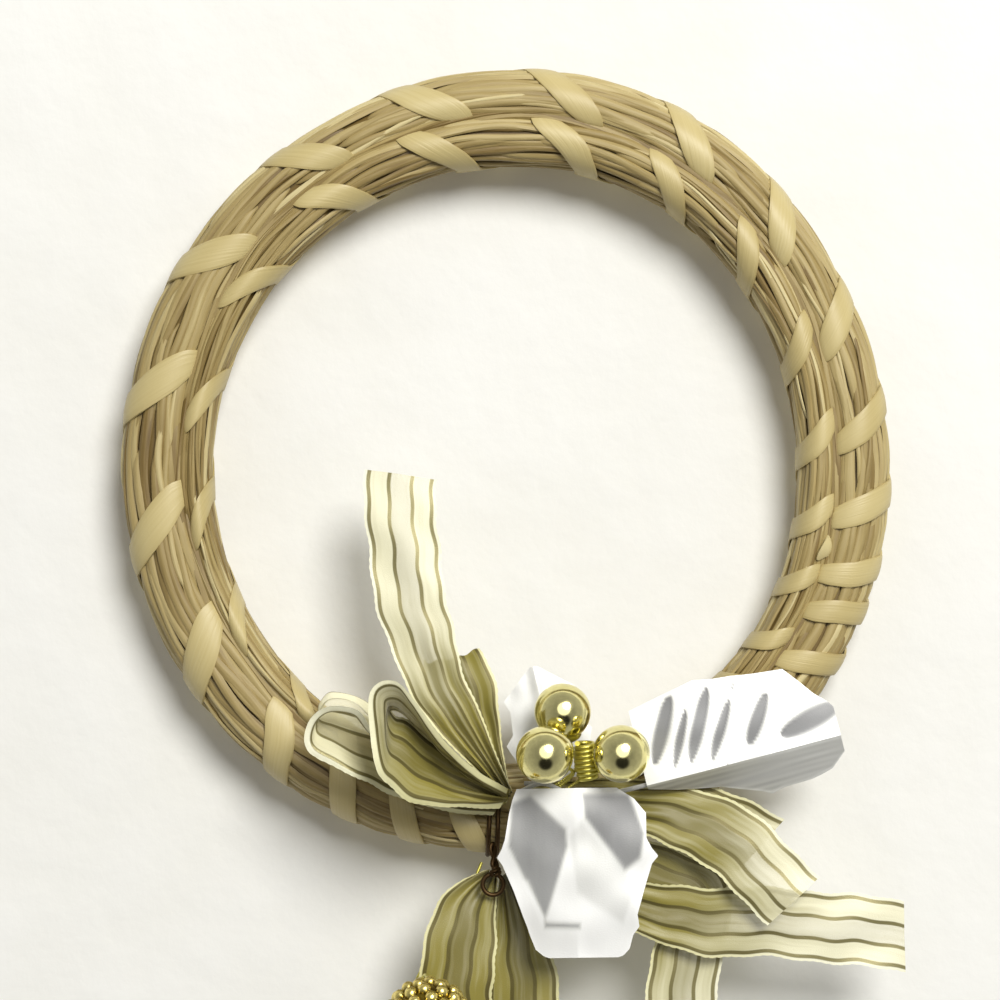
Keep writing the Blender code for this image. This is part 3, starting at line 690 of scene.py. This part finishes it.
TAIL_UPRIGHT = [
    ((0.5, 4.9, -0.6), (1.5, 4.9, 1.2)),
    ((-5, 5.3, 5), (-1.5, 5.3, 8)),
    ((-12.5, 5.3, 12.5), (-4.5, 5.3, 16)),
    ((-18.5, 5.1, 21), (-8.5, 4.8, 25.5)),
    ((-23.2, 4.8, 32.5), (-10.3, 4.8, 34.5)),
    ((-25.7, 4.3, 43.5), (-12.2, 4.3, 44)),
    ((-26.6, 3.8, 53), (-13, 3.8, 52)),
    ((-26.8, 2.3, 63), (-13.1, 2.8, 61)),
]
LOOP_BACK = [
    ((0, 4.1, -0.2), (1, 4.1, 1.4)),
    ((-7, 3.3, 8.5), (-0.6, 3.3, 10.5)),
    ((-13.5, 2.8, 19), (-1.6, 2.8, 21.3)),
    ((-15.5, 0.3, 25.5), (-5.2, 0.3, 28.3)),
    ((-14.5, -2.7, 18.5), (-3.2, -2.7, 20.4)),
    ((-8, -0.4, 9.5), (-1.3, -0.4, 11)),
    ((0, 1.9, 0.2), (1, 1.9, 1.6)),
]
LOOP_FRONT = [
    ((0.5, 7.5, 1.5), (1, 5.7, 0.9)),
    ((-5.5, 14.3, 5.5), (-5, 6.5, 3.6)),
    ((-12, 19.3, 11), (-10.5, 8, 8)),
    ((-17.5, 21.3, 19.5), (-15.5, 9.3, 12)),
    ((-20.5, 21.3, 22.5), (-18.8, 9.5, 15.4)),
    ((-24, 21.3, 21), (-20.8, 9.3, 16.8)),
    ((-24, 21.3, 14), (-21.5, 9, 16.8)),
    ((-23, 21.3, 7), (-20.6, 9.6, 15.8)),
    ((-21, 20.3, 4), (-18.6, 10.2, 15)),
    ((-17, 18.3, 1), (-14.5, 9.4, 11.8)),
    ((-10.5, 14.3, -0.5), (-9.5, 7.6, 7.2)),
    ((-5, 10.3, -1), (-4.5, 6.2, 2.9)),
    ((-0.5, 7.5, -1), (0.5, 5.4, -0.6)),
]
LOOP_LEFT = [
    ((-1.5, 4.1, -1.6), (-1, 2.9, -0.8)),
    ((-10.5, 8.3, 0.2), (-10.5, 3.3, 3.5)),
    ((-20, 9.3, 6), (-18, 2.3, 11)),
    ((-26, 12.3, 13), (-25.5, 3, 17.5)),
    ((-28.5, 13.3, 16.6), (-29.5, 4.4, 19.8)),
    ((-33, 13.3, 17.2), (-33.2, 4.4, 20.4)),
    ((-36, 13.3, 14.8), (-34.8, 4, 19)),
    ((-36.5, 13.3, 10.5), (-35.3, 3.6, 17.4)),
    ((-32.5, 13.3, 7.5), (-32.5, 3.4, 17)),
    ((-27, 12.3, 4.5), (-26.5, 3, 15.5)),
    ((-20, 9.3, 1), (-18.5, 2, 9.5)),
    ((-10.5, 5.3, -2), (-9.5, 1.6, 2)),
    ((-2, 2.7, -3.2), (-1.5, 1.9, -2.2)),
]
TAIL_RIGHT = [
    ((3.5, 3.5, 1.4), (3.5, 3.9, -1)),
    ((18.5, 4.3, 1.5), (18.5, 4.8, -4)),
    ((33.5, 5.3, 2), (28, 6.8, -7.5)),
    ((45, 6.8, -1), (36, 8.3, -11)),
    ((53, 8.8, -8), (43.3, 9.8, -17)),
    ((60, 9.8, -14.5), (50.2, 10.3, -23.5)),
]
END_SHORT = [
    ((4.5, 2.4, 2), (4.5, 2.4, 0)),
    ((20, 2.6, 3.5), (20, 2.8, -3)),
    ((36, 3.2, 2.5), (30, 3.4, -7.5)),
    ((46, 3.8, 0), (38, 3.8, -10.5)),
    ((53.5, 4.2, -4.5), (44.5, 4.2, -14.5)),
]
TAIL_LEVEL = [
    ((3, 2.3, -13.2), (2.5, 2.5, -15.4)),
    ((18.5, 3.8, -14.5), (18.5, 4.3, -22)),
    ((28, 5, -16.5), (28, 5.8, -27)),
    ((37.5, 5.8, -17), (37.5, 6.3, -29.8)),
    ((49, 6, -17.2), (49, 6.5, -30.2)),
    ((58.5, 6, -17.7), (59.5, 6.5, -31)),
    ((67, 5.8, -18.5), (68, 6.3, -32)),
    ((76.5, 5.3, -19.8), (76.8, 5.3, -33.2)),
]
TAIL_LONG = [
    ((2, 1.3, -15.6), (3, 1.3, -13.4)),
    ((10.5, 1.7, -18.5), (17, 1.7, -8.5)),
    ((19.5, 2.3, -18.8), (30, 2.5, -9)),
    ((29.5, 2.8, -21.5), (42, 3, -15.2)),
    ((29.5, 3, -27), (43.2, 3.3, -24.5)),
    ((27.6, 3.1, -34.5), (41.3, 3.5, -33.5)),
    ((26.6, 3, -42.5), (40.2, 3.5, -42)),
    ((26, 1.3, -57), (39.7, 2.3, -57)),
    ((25, -0.7, -75), (38.6, 0.6, -76)),
]
TAIL_LOW_LEFT = [
    ((-3.2, 2.8, -14), (-1.5, 2.8, -15.5)),
    ((-9, 4, -16.5), (-1.6, 4.4, -20.5)),
    ((-13.5, 4.8, -21), (-1.8, 4.9, -26.5)),
    ((-15.5, 5, -28.5), (-1.9, 5, -33)),
    ((-15.8, 4.3, -38.5), (-2.1, 4.3, -41)),
    ((-14, 2.3, -54), (-0.5, 2.3, -56)),
]
TAIL_LOW_MIDDLE = [
    ((-1, 1.6, -15.8), (0.8, 1.6, -14.4)),
    ((-2.5, 2.4, -25), (6.5, 2.6, -23)),
    ((-3.5, 2.9, -32.5), (9.5, 3.1, -31)),
    ((-3.4, 2.6, -40.5), (10.3, 2.8, -40)),
    ((-4.5, 0.3, -61.5), (9.2, 0.5, -60)),
]
RIBBON_STEP = 0.00036
# How high the cloth ripples, gathers at its neck and crowns, how far its edges sway, and its picots' size
RIPPLE = 0.00038
GATHER = 0.0011
CROWN = 0.0004
SWAY, FINE_SWAY = 0.00026, 0.00018
PICOT = 0.00016
# A loop's rim turns out: the share of the width that does, and how far
LIP_SHARE = 0.035
LIP = 0.0011
# Stations, how the cloth is held, and how far from the knot it is bunched full and painted in shade, and
# where it lies flat
RIBBONS = {
    "ribbon_tail_upright": (TAIL_UPRIGHT, "stretched", (0.018, 0.046)),
    "ribbon_loop_back": (LOOP_BACK, "folded", (0.036, 0.08)),
    "ribbon_loop_front": (LOOP_FRONT, "folded", (0.024, 0.046)),
    "ribbon_loop_left": (LOOP_LEFT, "folded", (0.018, 0.036)),
    "ribbon_tail_right": (TAIL_RIGHT, "hung", (0.042, 0.06)),
    "ribbon_end_short": (END_SHORT, "hung", (0.038, 0.062)),
    "ribbon_tail_level": (TAIL_LEVEL, "stretched", (0.042, 0.068)),
    "ribbon_tail_long": (TAIL_LONG, "hung", (0.04, 0.056)),
    "ribbon_tail_low_left": (TAIL_LOW_LEFT, "hung", (0.04, 0.11)),
    "ribbon_tail_low_middle": (TAIL_LOW_MIDDLE, "hung", (0.05, 0.13)),
}


def build_ribbon(name, material):
    """One length of ribbon between two smooth edges, gathered at its neck, with picots and soft ripples."""
    stations, held, (near, far) = RIBBONS[name]
    rng = random.Random(name)
    left, right = at_tie(stations).transpose(1, 0, 2)
    fine = np.linspace(0, len(stations) - 1, 400)
    middle = (spline(left, fine) + spline(right, fine)) / 2
    travelled = distances(middle)
    length = travelled[-1]
    u = np.concatenate([[0, 0.012], np.linspace(0.03, 0.97, 31), [0.988, 1]])[None, :]
    v = np.linspace(0, length, int(length / RIBBON_STEP))[:, None]
    at = np.interp(v[:, 0], travelled, fine)
    a, b = spline(left, at), spline(right, at)
    across = unit(b - a)
    normal = unit(np.cross(unit(np.gradient((a + b) / 2, axis=0)), across))
    slack = np.clip(1 - np.linalg.norm(b - a, axis=1, keepdims=True) / RIBBON_WIDTH, 0, 1)
    phase = rng.uniform(0, 6.3)
    ripple = RIPPLE * np.sin(u * 7 + phase + v / 0.004) * np.sin(v / 0.007 + phase)
    gather = GATHER * slack * np.sin(u * math.tau * 3)
    crown = CROWN * np.sin(u * math.pi) * math.cos(phase)
    grid = a[:, None, :] + (b - a)[:, None, :] * u[..., None]
    grid = grid + normal[:, None, :] * (ripple + gather + crown)[..., None]
    sway = SWAY * np.sin(v / 0.0031 + phase) + FINE_SWAY * np.sin(v / 0.0013 + phase * 3)
    grid += across[:, None, :] * (sway * np.clip(1 - slack * 2, 0, 1))[..., None]
    picot = PICOT * np.abs(np.sin(v / 0.00048))
    grid[:, 0] -= across * picot
    grid[:, -1] += across * picot
    if "loop" in name:
        lip = LIP * (0.45 + 0.55 * np.abs(np.sin(v / 0.009 + phase)))
        grid -= normal[:, None, :] * (lip * np.clip(1 - u / LIP_SHARE, 0, 1))[..., None]
    # Darker and fuller near the knot: partly denser cloth, partly painted shade
    fullness_and_shade = np.clip(1 - (np.linalg.norm(grid - TIE, axis=-1) - near) / (far - near), 0, 1)
    shape = Shape()
    shape.add_grid(grid, u, grain_at(u * RIBBON_WIDTH + phase, v, fullness_and_shade))
    piece = shape.make(name, material, solid=False)


# Leaves


HOLLY_BROAD = [
    (0, 0.45, 0.66), (0.065, 0.64, 0.71), (0.15, 0.77, 0.75), (0.3, 0.77, 0.8), (0.36, 0.83, 0.84),
    (0.405, 0.9, 0.89), (0.45, 0.83, 0.83), (0.6, 0.74, 0.71), (0.75, 0.66, 0.61), (0.82, 0.68, 0.56),
    (0.87, 0.61, 0.53), (0.95, 0.57, 0.47), (0.99, 0.5, 0.38), (1, 0.44, 0.32),
]
HOLLY_LONG = [
    (0, 0.84, 0.1), (0.14, 0.91, 0.3), (0.35, 1, 0.5), (0.44, 0.96, 0.68), (0.54, 0.94, 0.87),
    (0.59, 0.92, 1), (0.66, 0.9, 0.91), (0.8, 0.87, 0.89), (0.86, 0.7, 0.84), (0.92, 0.52, 0.76),
    (0.98, 0.39, 0.5), (1.03, 0.22, 0.3), (1.045, 0.1, 0.12),
]
HOLLY_SHORT = [
    (0, 0.45, 0.45), (0.18, 0.8, 0.8), (0.38, 1, 1), (0.46, 0.8, 0.8), (0.66, 0.74, 0.74),
    (0.76, 0.84, 0.84), (0.86, 0.52, 0.52), (1, 0.08, 0.08),
]
# Outline, stem from the tie, base, tip, half width, degrees that the left and right halves fold back, how far
# the tip curls, and the pressed veins, each from (share of length, of half width) to another, with its width
LEAVES = {
    "leaf_right": (HOLLY_LONG, [(3.6, 5.6, -3.6), (9.0, 6.2, -3.0), (18.0, 8.0, 0.4)], (27.0, 11.2, 3.0),
                   (63.5, 14.3, 12.5), 0.0172, (10, 58), 0.003,
                   [((0.06, 0.2), (0.22, 0.9), 0.0034), ((0.155, 0.12), (0.28, 0.7), 0.0019),
                    ((0.24, 0.13), (0.41, 0.88), 0.003), ((0.345, 0.09), (0.5, 0.68), 0.0022),
                    ((0.54, 0.14), (0.69, 0.66), 0.003), ((0.71, 0.16), (1.04, 0.34), 0.0048)]),
    "leaf_lower": (HOLLY_BROAD, [(3.0, 8.0, 1.5), (7.5, 10.0, 3.2)], (13.5, 12.4, 2.6),
                   (13.9, 16.8, -28.9), 0.0172, (5, 9), 0.003, []),
    "leaf_upper": (HOLLY_SHORT, [(3.8, 5.2, 2.8), (7.5, 4.4, 2.9)], (10.5, 3.4, 3.2),
                   (5.5, 2.4, 25.0), 0.0085, (8, 8), 0.001, []),
}
LEAF_THICKNESS = 0.0004
LEAF_STEM_RADIUS = 0.00045
# Height of each leaf's midrib and of its soft waves; one leaf's lower half, folded away from the light, is
# painted grey as painted shade, lighter towards the tip, with streaks of painted crease shading and a lighter
# rim and midrib
RELIEF = {"leaf_right": (0.00035, 0.0008), "leaf_lower": (0.0, 0.0008), "leaf_upper": (0.0002, 0.0005)}
SHADED_HALF_LEAF = "leaf_right"
RIB_WIDTH = 0.001
# Pressed veins sink this deep and are painted this much darker, a painted shade in their grooves
VEIN_DEPTH = 0.00012
VEIN_SHADE = 0.9
# Facets painted with no relief, as planes in light and shade: corners as (share of length, share of half
# width left of the midrib), and how much lighter, a painted highlight where more and painted shade where less
PAINTED_FACETS = {
    "leaf_lower": [
        ([(0.08, -0.72), (0.04, -0.51), (0.24, -0.12), (0.37, -0.1), (0.66, -0.29), (0.78, -0.36),
          (0.34, -0.76)], -0.74),
        ([(0.03, 0.06), (0.03, 0.58), (0.27, 0.75), (0.42, 0.7), (0.49, 0.53), (0.18, 0.1)], -0.84),
        ([(0.28, -0.08), (0.2, 0.06), (0.49, 0.53), (0.62, 0.62), (0.8, 0.5), (0.62, 0.0)], -0.22),
        ([(0.795, -0.36), (0.805, 0.02), (0.822, 0.02), (0.815, -0.36)], -0.95),
        ([(0.55, -0.58), (0.54, -0.54), (0.76, -0.37), (0.78, -0.4)], 0.35),
    ],
    "leaf_upper": [([(0.1, 0.1), (0.55, 0.1), (0.6, -0.8), (0.15, -0.7)], -0.16)],
}


def inside_of(corners, t, r):
    """1 inside a convex outline, falling to 0 over a soft edge; its corners go round either way."""
    centre = np.mean(corners, axis=0)
    least = np.full(np.shape(t), 1.0)
    for (t0, r0), (t1, r1) in zip(corners, corners[1:] + corners[:1]):
        size = math.hypot(t1 - t0, r1 - r0)
        side = ((t1 - t0) * (centre[1] - r0) - (r1 - r0) * (centre[0] - t0)) / size
        reach = ((t1 - t0) * (r - r0) - (r1 - r0) * (t - t0)) / size
        least = np.minimum(least, reach * np.sign(side))
    soft = np.clip(least / 0.06 + 0.5, 0, 1)
    return soft * soft * (3 - 2 * soft)


def in_vein(start, end, wide, x, y):
    """1 inside a pressed vein, which is a lens from start to end, falling to 0 at its edge."""
    dx, dy = end - start
    size = math.hypot(dx, dy)
    on = ((x - start[0]) * dx + (y - start[1]) * dy) / size ** 2
    off = np.abs((x - start[0]) * dy - (y - start[1]) * dx) / size
    lens = wide / 2 * np.sqrt(np.clip(4 * on * (1 - on), 0, 1))
    return np.clip(1.25 * (1 - (off / np.maximum(lens, 1e-6)) ** 3), 0, 1)


def build_leaf(name, material):
    """A stiff satin leaf with pointed lobes, folded along its middle, with pressed veins that are painted
    darker, and on some leaves facets of painted light and shade.
    """
    outline, stem, base, tip, half_width, folds, curl, veins = LEAVES[name]
    base, tip = at_tie((base, tip))
    along = tip - base
    length = np.linalg.norm(along)
    axis = along / length
    normal = unit(np.array((0.0, -1.0, 0.0)) + axis * axis[1])
    left = np.cross(normal, axis)
    table = np.array(outline)
    t, r = np.meshgrid(np.linspace(0, 1, 121), np.linspace(-1, 1, 57), indexing="ij")
    on_left = r < 0
    share = np.abs(r) * np.where(on_left, *(np.interp(t, table[:, 0], table[:, i]) for i in (1, 2)))
    leftward = np.where(on_left, share, -share)
    fold = np.where(on_left, *np.radians(folds))
    middle = base + along * t[..., None] - normal * (curl * t * t)[..., None]
    rib_height, wave_height = RELIEF[name]
    bent = share if rib_height else share ** 2 / (share + 0.25)
    rib = np.exp(-(share * half_width / RIB_WIDTH) ** 2) * (rib_height > 0)
    lift = rib_height * rib
    rng = random.Random(name)
    phase = rng.uniform(0, 6.3)
    for _ in range(6):
        way, size = rng.uniform(0, math.pi), rng.uniform(5, 15)
        wave = size * (t * 2 * math.cos(way) + share * math.sin(way)) + rng.uniform(0, 6.3)
        lift += wave_height / size * np.sin(wave)
    rim = np.clip((np.abs(r) - 0.9) / 0.1, 0, 1)
    shade = 0.9 + 0.1 * rim + 0.05 * np.sin(t * 7 + share * 5 + phase)
    # Painted shade: this leaf's lower half is grey, lighter towards the tip, streaked with painted crease
    # shading
    if name == SHADED_HALF_LEAF:
        painted_creases = sum(np.sin(share * rng.uniform(9, 46) + 3 * np.sin(t * rng.uniform(1.5, 5) + k))
                      for k in range(5))
        low = 0.44 + 0.24 * t + 0.06 * painted_creases * (1 - 0.5 * t) + 0.45 * rim + 0.5 * np.clip(rib * 2, 0, 1)
        shade = np.where(r > 0, low, shade)
    scale = np.array((length, half_width))
    for start, end, wide in veins:
        inside = in_vein(start * scale, end * scale, wide, t * length, leftward * half_width)
        lift -= VEIN_DEPTH * inside
        shade -= VEIN_SHADE * inside
    # Painted shade and painted highlights of the facets
    for corners, change in PAINTED_FACETS.get(name, []):
        shade += change * inside_of(corners, t, leftward)
    top = middle + left * (leftward * half_width * np.cos(fold))[..., None]
    top += normal * (lift - bent * half_width * np.sin(fold))[..., None]
    bottom = top - normal * LEAF_THICKNESS
    flat = grain_at(share * half_width * np.sign(r), t * length, 0.0)
    grid, shades, grain = (np.concatenate([one, other[:, ::-1]], axis=1)
                           for one, other in ((top, bottom), (shade, shade), (flat, flat)))
    shape = Shape()
    shape.add_solid(grid, shades, grain)
    run = np.vstack([at_tie(stem), base + axis * 0.002 - normal * 0.0006])
    shape.add_tube(curve(run, 30), LEAF_STEM_RADIUS, 8, 0.35)
    shape.make(name, material)


# Gold trim and wire


BERRY_RADIUS = 0.0054
CLUSTER = (13.0, 14.0, 9.4)
# Each berry's place about the cluster in berry radii, to the right, forward and up, and its stalk's points
BERRIES = {
    "top": ((-0.37, -0.63, 1.39), [(13.6, 10.2, 6.5), (11.3, 8.2, 3.8), (7.2, 7.0, 1.0), (3.4, 6.4, -0.8)]),
    "left": ((-1.02, 0.85, 0.0), [(13.0, 11.7, 5.5), (11.0, 9.0, 3.0), (7.0, 7.8, 0.3), (3.4, 7.2, -1.7)]),
    "right": ((1.64, 0.67, 0.02), [(15.2, 10.9, 4.6), (12.0, 8.6, 2.2), (7.4, 7.6, -0.7), (3.4, 7.0, -2.6)]),
}
STALK_RADIUS = 0.0003
WRAP_LOW = (15.8, 12.6, 4.4)
WRAP_HIGH = (15.2, 13.0, 11.2)
WRAP_TURNS = 8
WRAP_RADIUS = 0.0015
WRAP_SWELL = 0.0005
WRAP_WIRE = 0.0005
# The cap on a berry, as (share of its radius along its stalk, share of its radius across)
CAP = ((0.9, 0.46), (0.94, 0.45), (1.04, 0.36), (1.1, 0.24), (1.13, 0.1))


def turned(centre, axis, profile, sides):
    """Grid turned about an axis; profile is a list of (along, radius)."""
    axis = unit(np.asarray(axis, float))
    first = unit(np.cross(axis, (0.3, 0.2, 0.9)))
    second = np.cross(axis, first)
    turn = np.linspace(0, math.tau, sides, endpoint=False)
    return np.array([centre + axis * x + r * (np.outer(np.cos(turn), first) + np.outer(np.sin(turn), second))
                     for x, r in profile])


def add_wrapping(shape):
    """The gold wire wound round the berries' stalks where they meet."""
    turn = np.linspace(0, WRAP_TURNS * math.tau, 220)
    low, high = at_tie((WRAP_LOW, WRAP_HIGH))
    axis = unit(high - low)
    first = unit(np.cross(axis, (0.0, 1.0, 0.0)))
    climb = turn / turn[-1]
    reach = WRAP_RADIUS + WRAP_SWELL * np.sin(climb * math.pi)
    coil = low + np.outer(climb, high - low) + reach[:, None] * (
        np.outer(np.cos(turn), first) + np.outer(np.sin(turn), np.cross(axis, first)))
    shape.add_tube(coil, WRAP_WIRE, 8, 0.8)


def build_berry(name, gold, stalk_gold):
    """A mirror-bright ball with a small collar, and its capped stalk back to the tie."""
    place, route = BERRIES[name]
    centre = at_tie(CLUSTER) + np.array((place[0], -place[1], place[2])) * BERRY_RADIUS
    points = at_tie(route)
    down = unit(points[0] - centre)
    profile = [(math.cos(a) * BERRY_RADIUS, max(math.sin(a) * BERRY_RADIUS, 0.00002))
               for a in np.linspace(math.pi, 0.22, 40)]
    profile += [(BERRY_RADIUS, 0.00105), (BERRY_RADIUS * 1.04, 0.00075), (BERRY_RADIUS * 1.06, 0.0002)]
    ball = Shape()
    ball.add_solid(turned(centre, down, profile, 64), 0.8)
    ball.make("berry_" + name, gold)
    path = curve(np.vstack([centre + down * BERRY_RADIUS, points]), 120)
    stalk = Shape()
    stalk.add_tube(path, STALK_RADIUS * (1 + 0.22 * np.sin(np.arange(120) * 1.9)), 10, 0.8)
    cap = [(BERRY_RADIUS * along, BERRY_RADIUS * reach) for along, reach in CAP]
    cap += [(x - 0.0003, max(r - 0.0002, 0.00005)) for x, r in reversed(cap)]
    stalk.add_solid(turned(centre, down, cap, 32), 0.8)
    if name == "top":
        add_wrapping(stalk)
    stalk.make("berry_stalk_" + name, stalk_gold)


CONE_TOP = (-14.4, 16.8, -32.6)
CONE_LENGTH = 0.026
CONE_RADIUS = 0.009
CONE_SWELL = 0.18
CONE_STALK = [(-15.0, 11.0, -33.0), (-16.2, 8.0, -34.6), (-16.9, 5.0, -35.2), (-15.8, 3.2, -33.0),
              (-11.5, 2.6, -26.0), (-7.0, 2.2, -18.6), (-4.4, 1.2, -12.8)]
CONE_ROWS = 150
KNOBS = 150
KNOB_RADIUS = 0.00125


def build_cone(gold, stalk_gold):
    """The gilt cone, set all over with round knobs in spirals, and its stalk."""
    top = at_tie(CONE_TOP)
    centre = top - np.array((0, 0, CONE_LENGTH / 2))
    turn = np.linspace(0.02, math.pi - 0.02, CONE_ROWS)[:, None]
    angle = np.linspace(0, math.tau, CONE_ROWS, endpoint=False)[None, :]
    sink = KNOB_RADIUS * 0.8

    def skin(turn, angle, lift):
        """Points at an angle from the top and one round the cone, lifted off its body."""
        radius = (CONE_RADIUS - sink) * np.sin(turn) * (1 + CONE_SWELL * np.cos(turn)) + lift * np.sin(turn)
        height = (CONE_LENGTH / 2 - sink + lift) * np.cos(turn)
        return np.stack([radius * np.cos(angle), radius * np.sin(angle), height + 0 * angle], -1)

    base = skin(turn, angle, 0.0)
    order = np.arange(KNOBS) + 0.5
    heads = skin(np.arccos(1 - 2 * order / KNOBS), order * math.pi * (3 - math.sqrt(5)), 0.0)
    near = np.full(base.shape[:2], 1.0)
    for head in heads:
        near = np.minimum(near, np.linalg.norm(base - head, axis=-1))
    lift = np.sqrt(np.clip(KNOB_RADIUS ** 2 - near ** 2, 0, None))
    grid = skin(turn, angle, lift) + centre
    cone = Shape()
    # Tinted by knob height, so the gaps between the knobs take the dark colour, a painted shade
    cone.add_solid(grid, np.clip(lift / KNOB_RADIUS, 0, 1))
    cone.make("gilt_cone", gold)
    run = np.vstack([top - np.array((0, 0, 0.001)), at_tie(CONE_STALK)])
    stalk = Shape()
    stalk.add_tube(curve(run, 120), STALK_RADIUS, 10, 0.8)
    stalk.make("cone_stalk", stalk_gold)


WIRE_RADIUS = 0.00045
WIRE_LIFT = 0.0009
WIRE_TURNS = (-0.0028, -0.0012)
WIRE_EYE = (-2.2, 6.4, -16.4)
WIRE_EYE_RADIUS = 0.002
WIRE_NECK = (-1.9, 4.6, -12.9)
WIRE_FOOT = (-2.4, 1.2, -9.2)
WIRE_TWIST = 0.00042


def build_wire(material):
    """Dark florist wire: two turns round the ring, and an eye twisted at its end below it."""
    shape = Shape()
    for right in WIRE_TURNS:
        theta = math.pi - math.asin((right + TIE_SIDE) / RING_HALF_WIDTH)
        s = np.linspace(0, FRONT_ARC * 0.86, 14)
        half = np.concatenate([on_coil(1, s, theta, WIRE_LIFT), on_coil(-1, s[::-1], theta, WIRE_LIFT)])
        back = half[::-1] * (1, -1, 1)
        path = curve(np.concatenate([half, back[1:-1], half[:1]]), 220)
        path += np.random.default_rng(3).normal(0, 0.00002, path.shape)
        shape.add_tube(path, WIRE_RADIUS, 10, 0.5)
    turn = np.linspace(math.radians(60), math.radians(-250), 40)
    eye = at_tie(WIRE_EYE) + WIRE_EYE_RADIUS * np.stack([np.cos(turn), np.zeros(40), np.sin(turn)], 1)
    neck, foot = at_tie((WIRE_NECK, WIRE_FOOT))
    for end, phase in ((eye[-1], 0.0), (eye[0], math.pi)):
        climb = curve([end, (eye[0] + neck) / 2, neck, foot], 60)
        spin = np.linspace(0, 14, 60) + phase
        twist = WIRE_TWIST * np.stack([np.cos(spin), np.sin(spin), np.zeros(60)], 1)
        shape.add_tube(climb + twist, WIRE_RADIUS, 8, 0.5)
    shape.add_tube(eye, WIRE_RADIUS, 10, 0.5)
    shape.make("florist_wire", material)


# Stage, light and camera


WALL_GAP = 0.0004
WALL_CORNERS = ((-1.2, -0.8), (1.2, -0.8), (1.2, 1.2), (-1.2, 1.2))


def add_stage():
    """A pale wall close behind, clear from its back; it casts no shadow and bounces no light."""
    material, tree, shader = new_material("pale_wall")
    plaster = noise_of(tree, add_node(tree, "TexCoord", {}, "Object"), 38.0, 6.0)
    colour = ramp(tree, plaster, [(0.3, (0.885, 0.878, 0.835)), (0.7, (0.91, 0.906, 0.875))])
    feed(tree, shader, {"Base Color": colour, "Roughness": 0.9, "Specular IOR Level": 0.1,
                        "Normal": bump(tree, plaster, 0.0012)})
    behind = add_node(tree, "NewGeometry", {}, "Backfacing")
    clear = add_node(tree, "BsdfTransparent", {})
    surface = add_node(tree, "MixShader", {0: behind, 1: shader.outputs["BSDF"], 2: clear})
    feed(tree, tree.nodes["Material Output"], {"Surface": surface})
    mesh = bpy.data.meshes.new("wall")
    corners = [(x, cad_box[1].y + WALL_GAP, z) for x, z in WALL_CORNERS]
    mesh.from_pydata(corners, [], [(0, 1, 2, 3)])
    mesh.materials.append(material)
    wall = bpy.data.objects.new("wall", mesh)
    wall.visible_diffuse = wall.visible_shadow = False
    put_in_scene(wall)


def add_light(name, place, target, size, power, colour=(1, 1, 1)):
    """A round soft light aimed at a point, which it returns."""
    data = bpy.data.lights.new(name, "AREA")
    data.shape, data.size, data.energy, data.color = "DISK", size, power, colour
    light = bpy.data.objects.new(name, data)
    light.location = place
    light.rotation_euler = (Vector(target) - Vector(place)).to_track_quat("-Z", "Y").to_euler()
    put_in_scene(light)
    return light


PATCH_WAY = (0.05, -0.84, -0.54)


def add_world():
    """Even pale surroundings, darker in front, with a dark patch low down that the gold mirrors."""
    world = bpy.data.worlds.new("studio")
    world.use_nodes = True
    tree = world.node_tree
    way = add_node(tree, "TexCoord", {}, "Generated")
    depth = add_node(tree, "SeparateXYZ", {0: way}, "Y")
    patch = add_node(tree, "VectorMath", {0: way, 1: PATCH_WAY}, "Value", operation="DOT_PRODUCT")
    strength = add_node(tree, "Math", {
        0: remap(tree, depth, (-1.0, 0.5), (0.22, 0.66)),
        1: remap(tree, patch, (0.86, 0.93), (1.0, 0.06))}, operation="MULTIPLY")
    feed(tree, tree.nodes["Background"], {"Color": (1.0, 0.995, 0.97, 1), "Strength": strength})
    bpy.context.scene.world = world


def add_camera():
    """The photograph's view."""
    data = bpy.data.cameras.new("camera")
    data.sensor_width = SENSOR
    data.lens = SENSOR * -EYE[1] / VIEW_WIDTH
    data.clip_start = 0.01
    camera = bpy.data.objects.new("camera", data)
    camera.location = EYE
    camera.rotation_euler = (math.pi / 2, 0, 0)
    put_in_scene(camera)
    bpy.context.scene.camera = camera


def main():
    """Build every piece, then the stage."""
    grass, straw = grass_material(), straw_material()
    organza, satin = organza_material(), satin_material()
    berry_gold = metal_material("berry_gold", (0.88, 0.81, 0.38), 0.13, 0.03)
    stalk_gold = metal_material("stalk_gold", (0.62, 0.56, 0.13), 0.34, 0.1)
    # The cone's dark second colour is painted shade between its knobs
    cone_gold = metal_material("cone_gold", (0.8, 0.66, 0.22), 0.22, 0.1, (0.2, 0.14, 0.02))
    wire = metal_material("dark_wire", (0.075, 0.045, 0.02), 0.4, 0.1)
    for name, side in (("outer", 1), ("inner", -1)):
        build_coil("grass_coil_" + name, side, grass)
        build_strip("binding_strip_" + name, side, straw)
    for name in RIBBONS:
        build_ribbon(name, organza)
    for name in LEAVES:
        build_leaf(name, satin)
    for name in BERRIES:
        build_berry(name, berry_gold, stalk_gold)
    build_cone(cone_gold, stalk_gold)
    build_wire(wire)

    add_stage()
    add_light("key", (0.4, -1.23, 0.58), (-0.005, 0, -0.07), 0.66, 21.0, (1.0, 0.99, 0.96))
    card = add_light("card", (0.08, -0.86, 0.13), (0.008, 0, -0.11), 0.86, 2.6)
    card.visible_diffuse = False
    add_world()
    add_camera()
    bpy.context.scene.view_settings.view_transform = "Standard"


main()
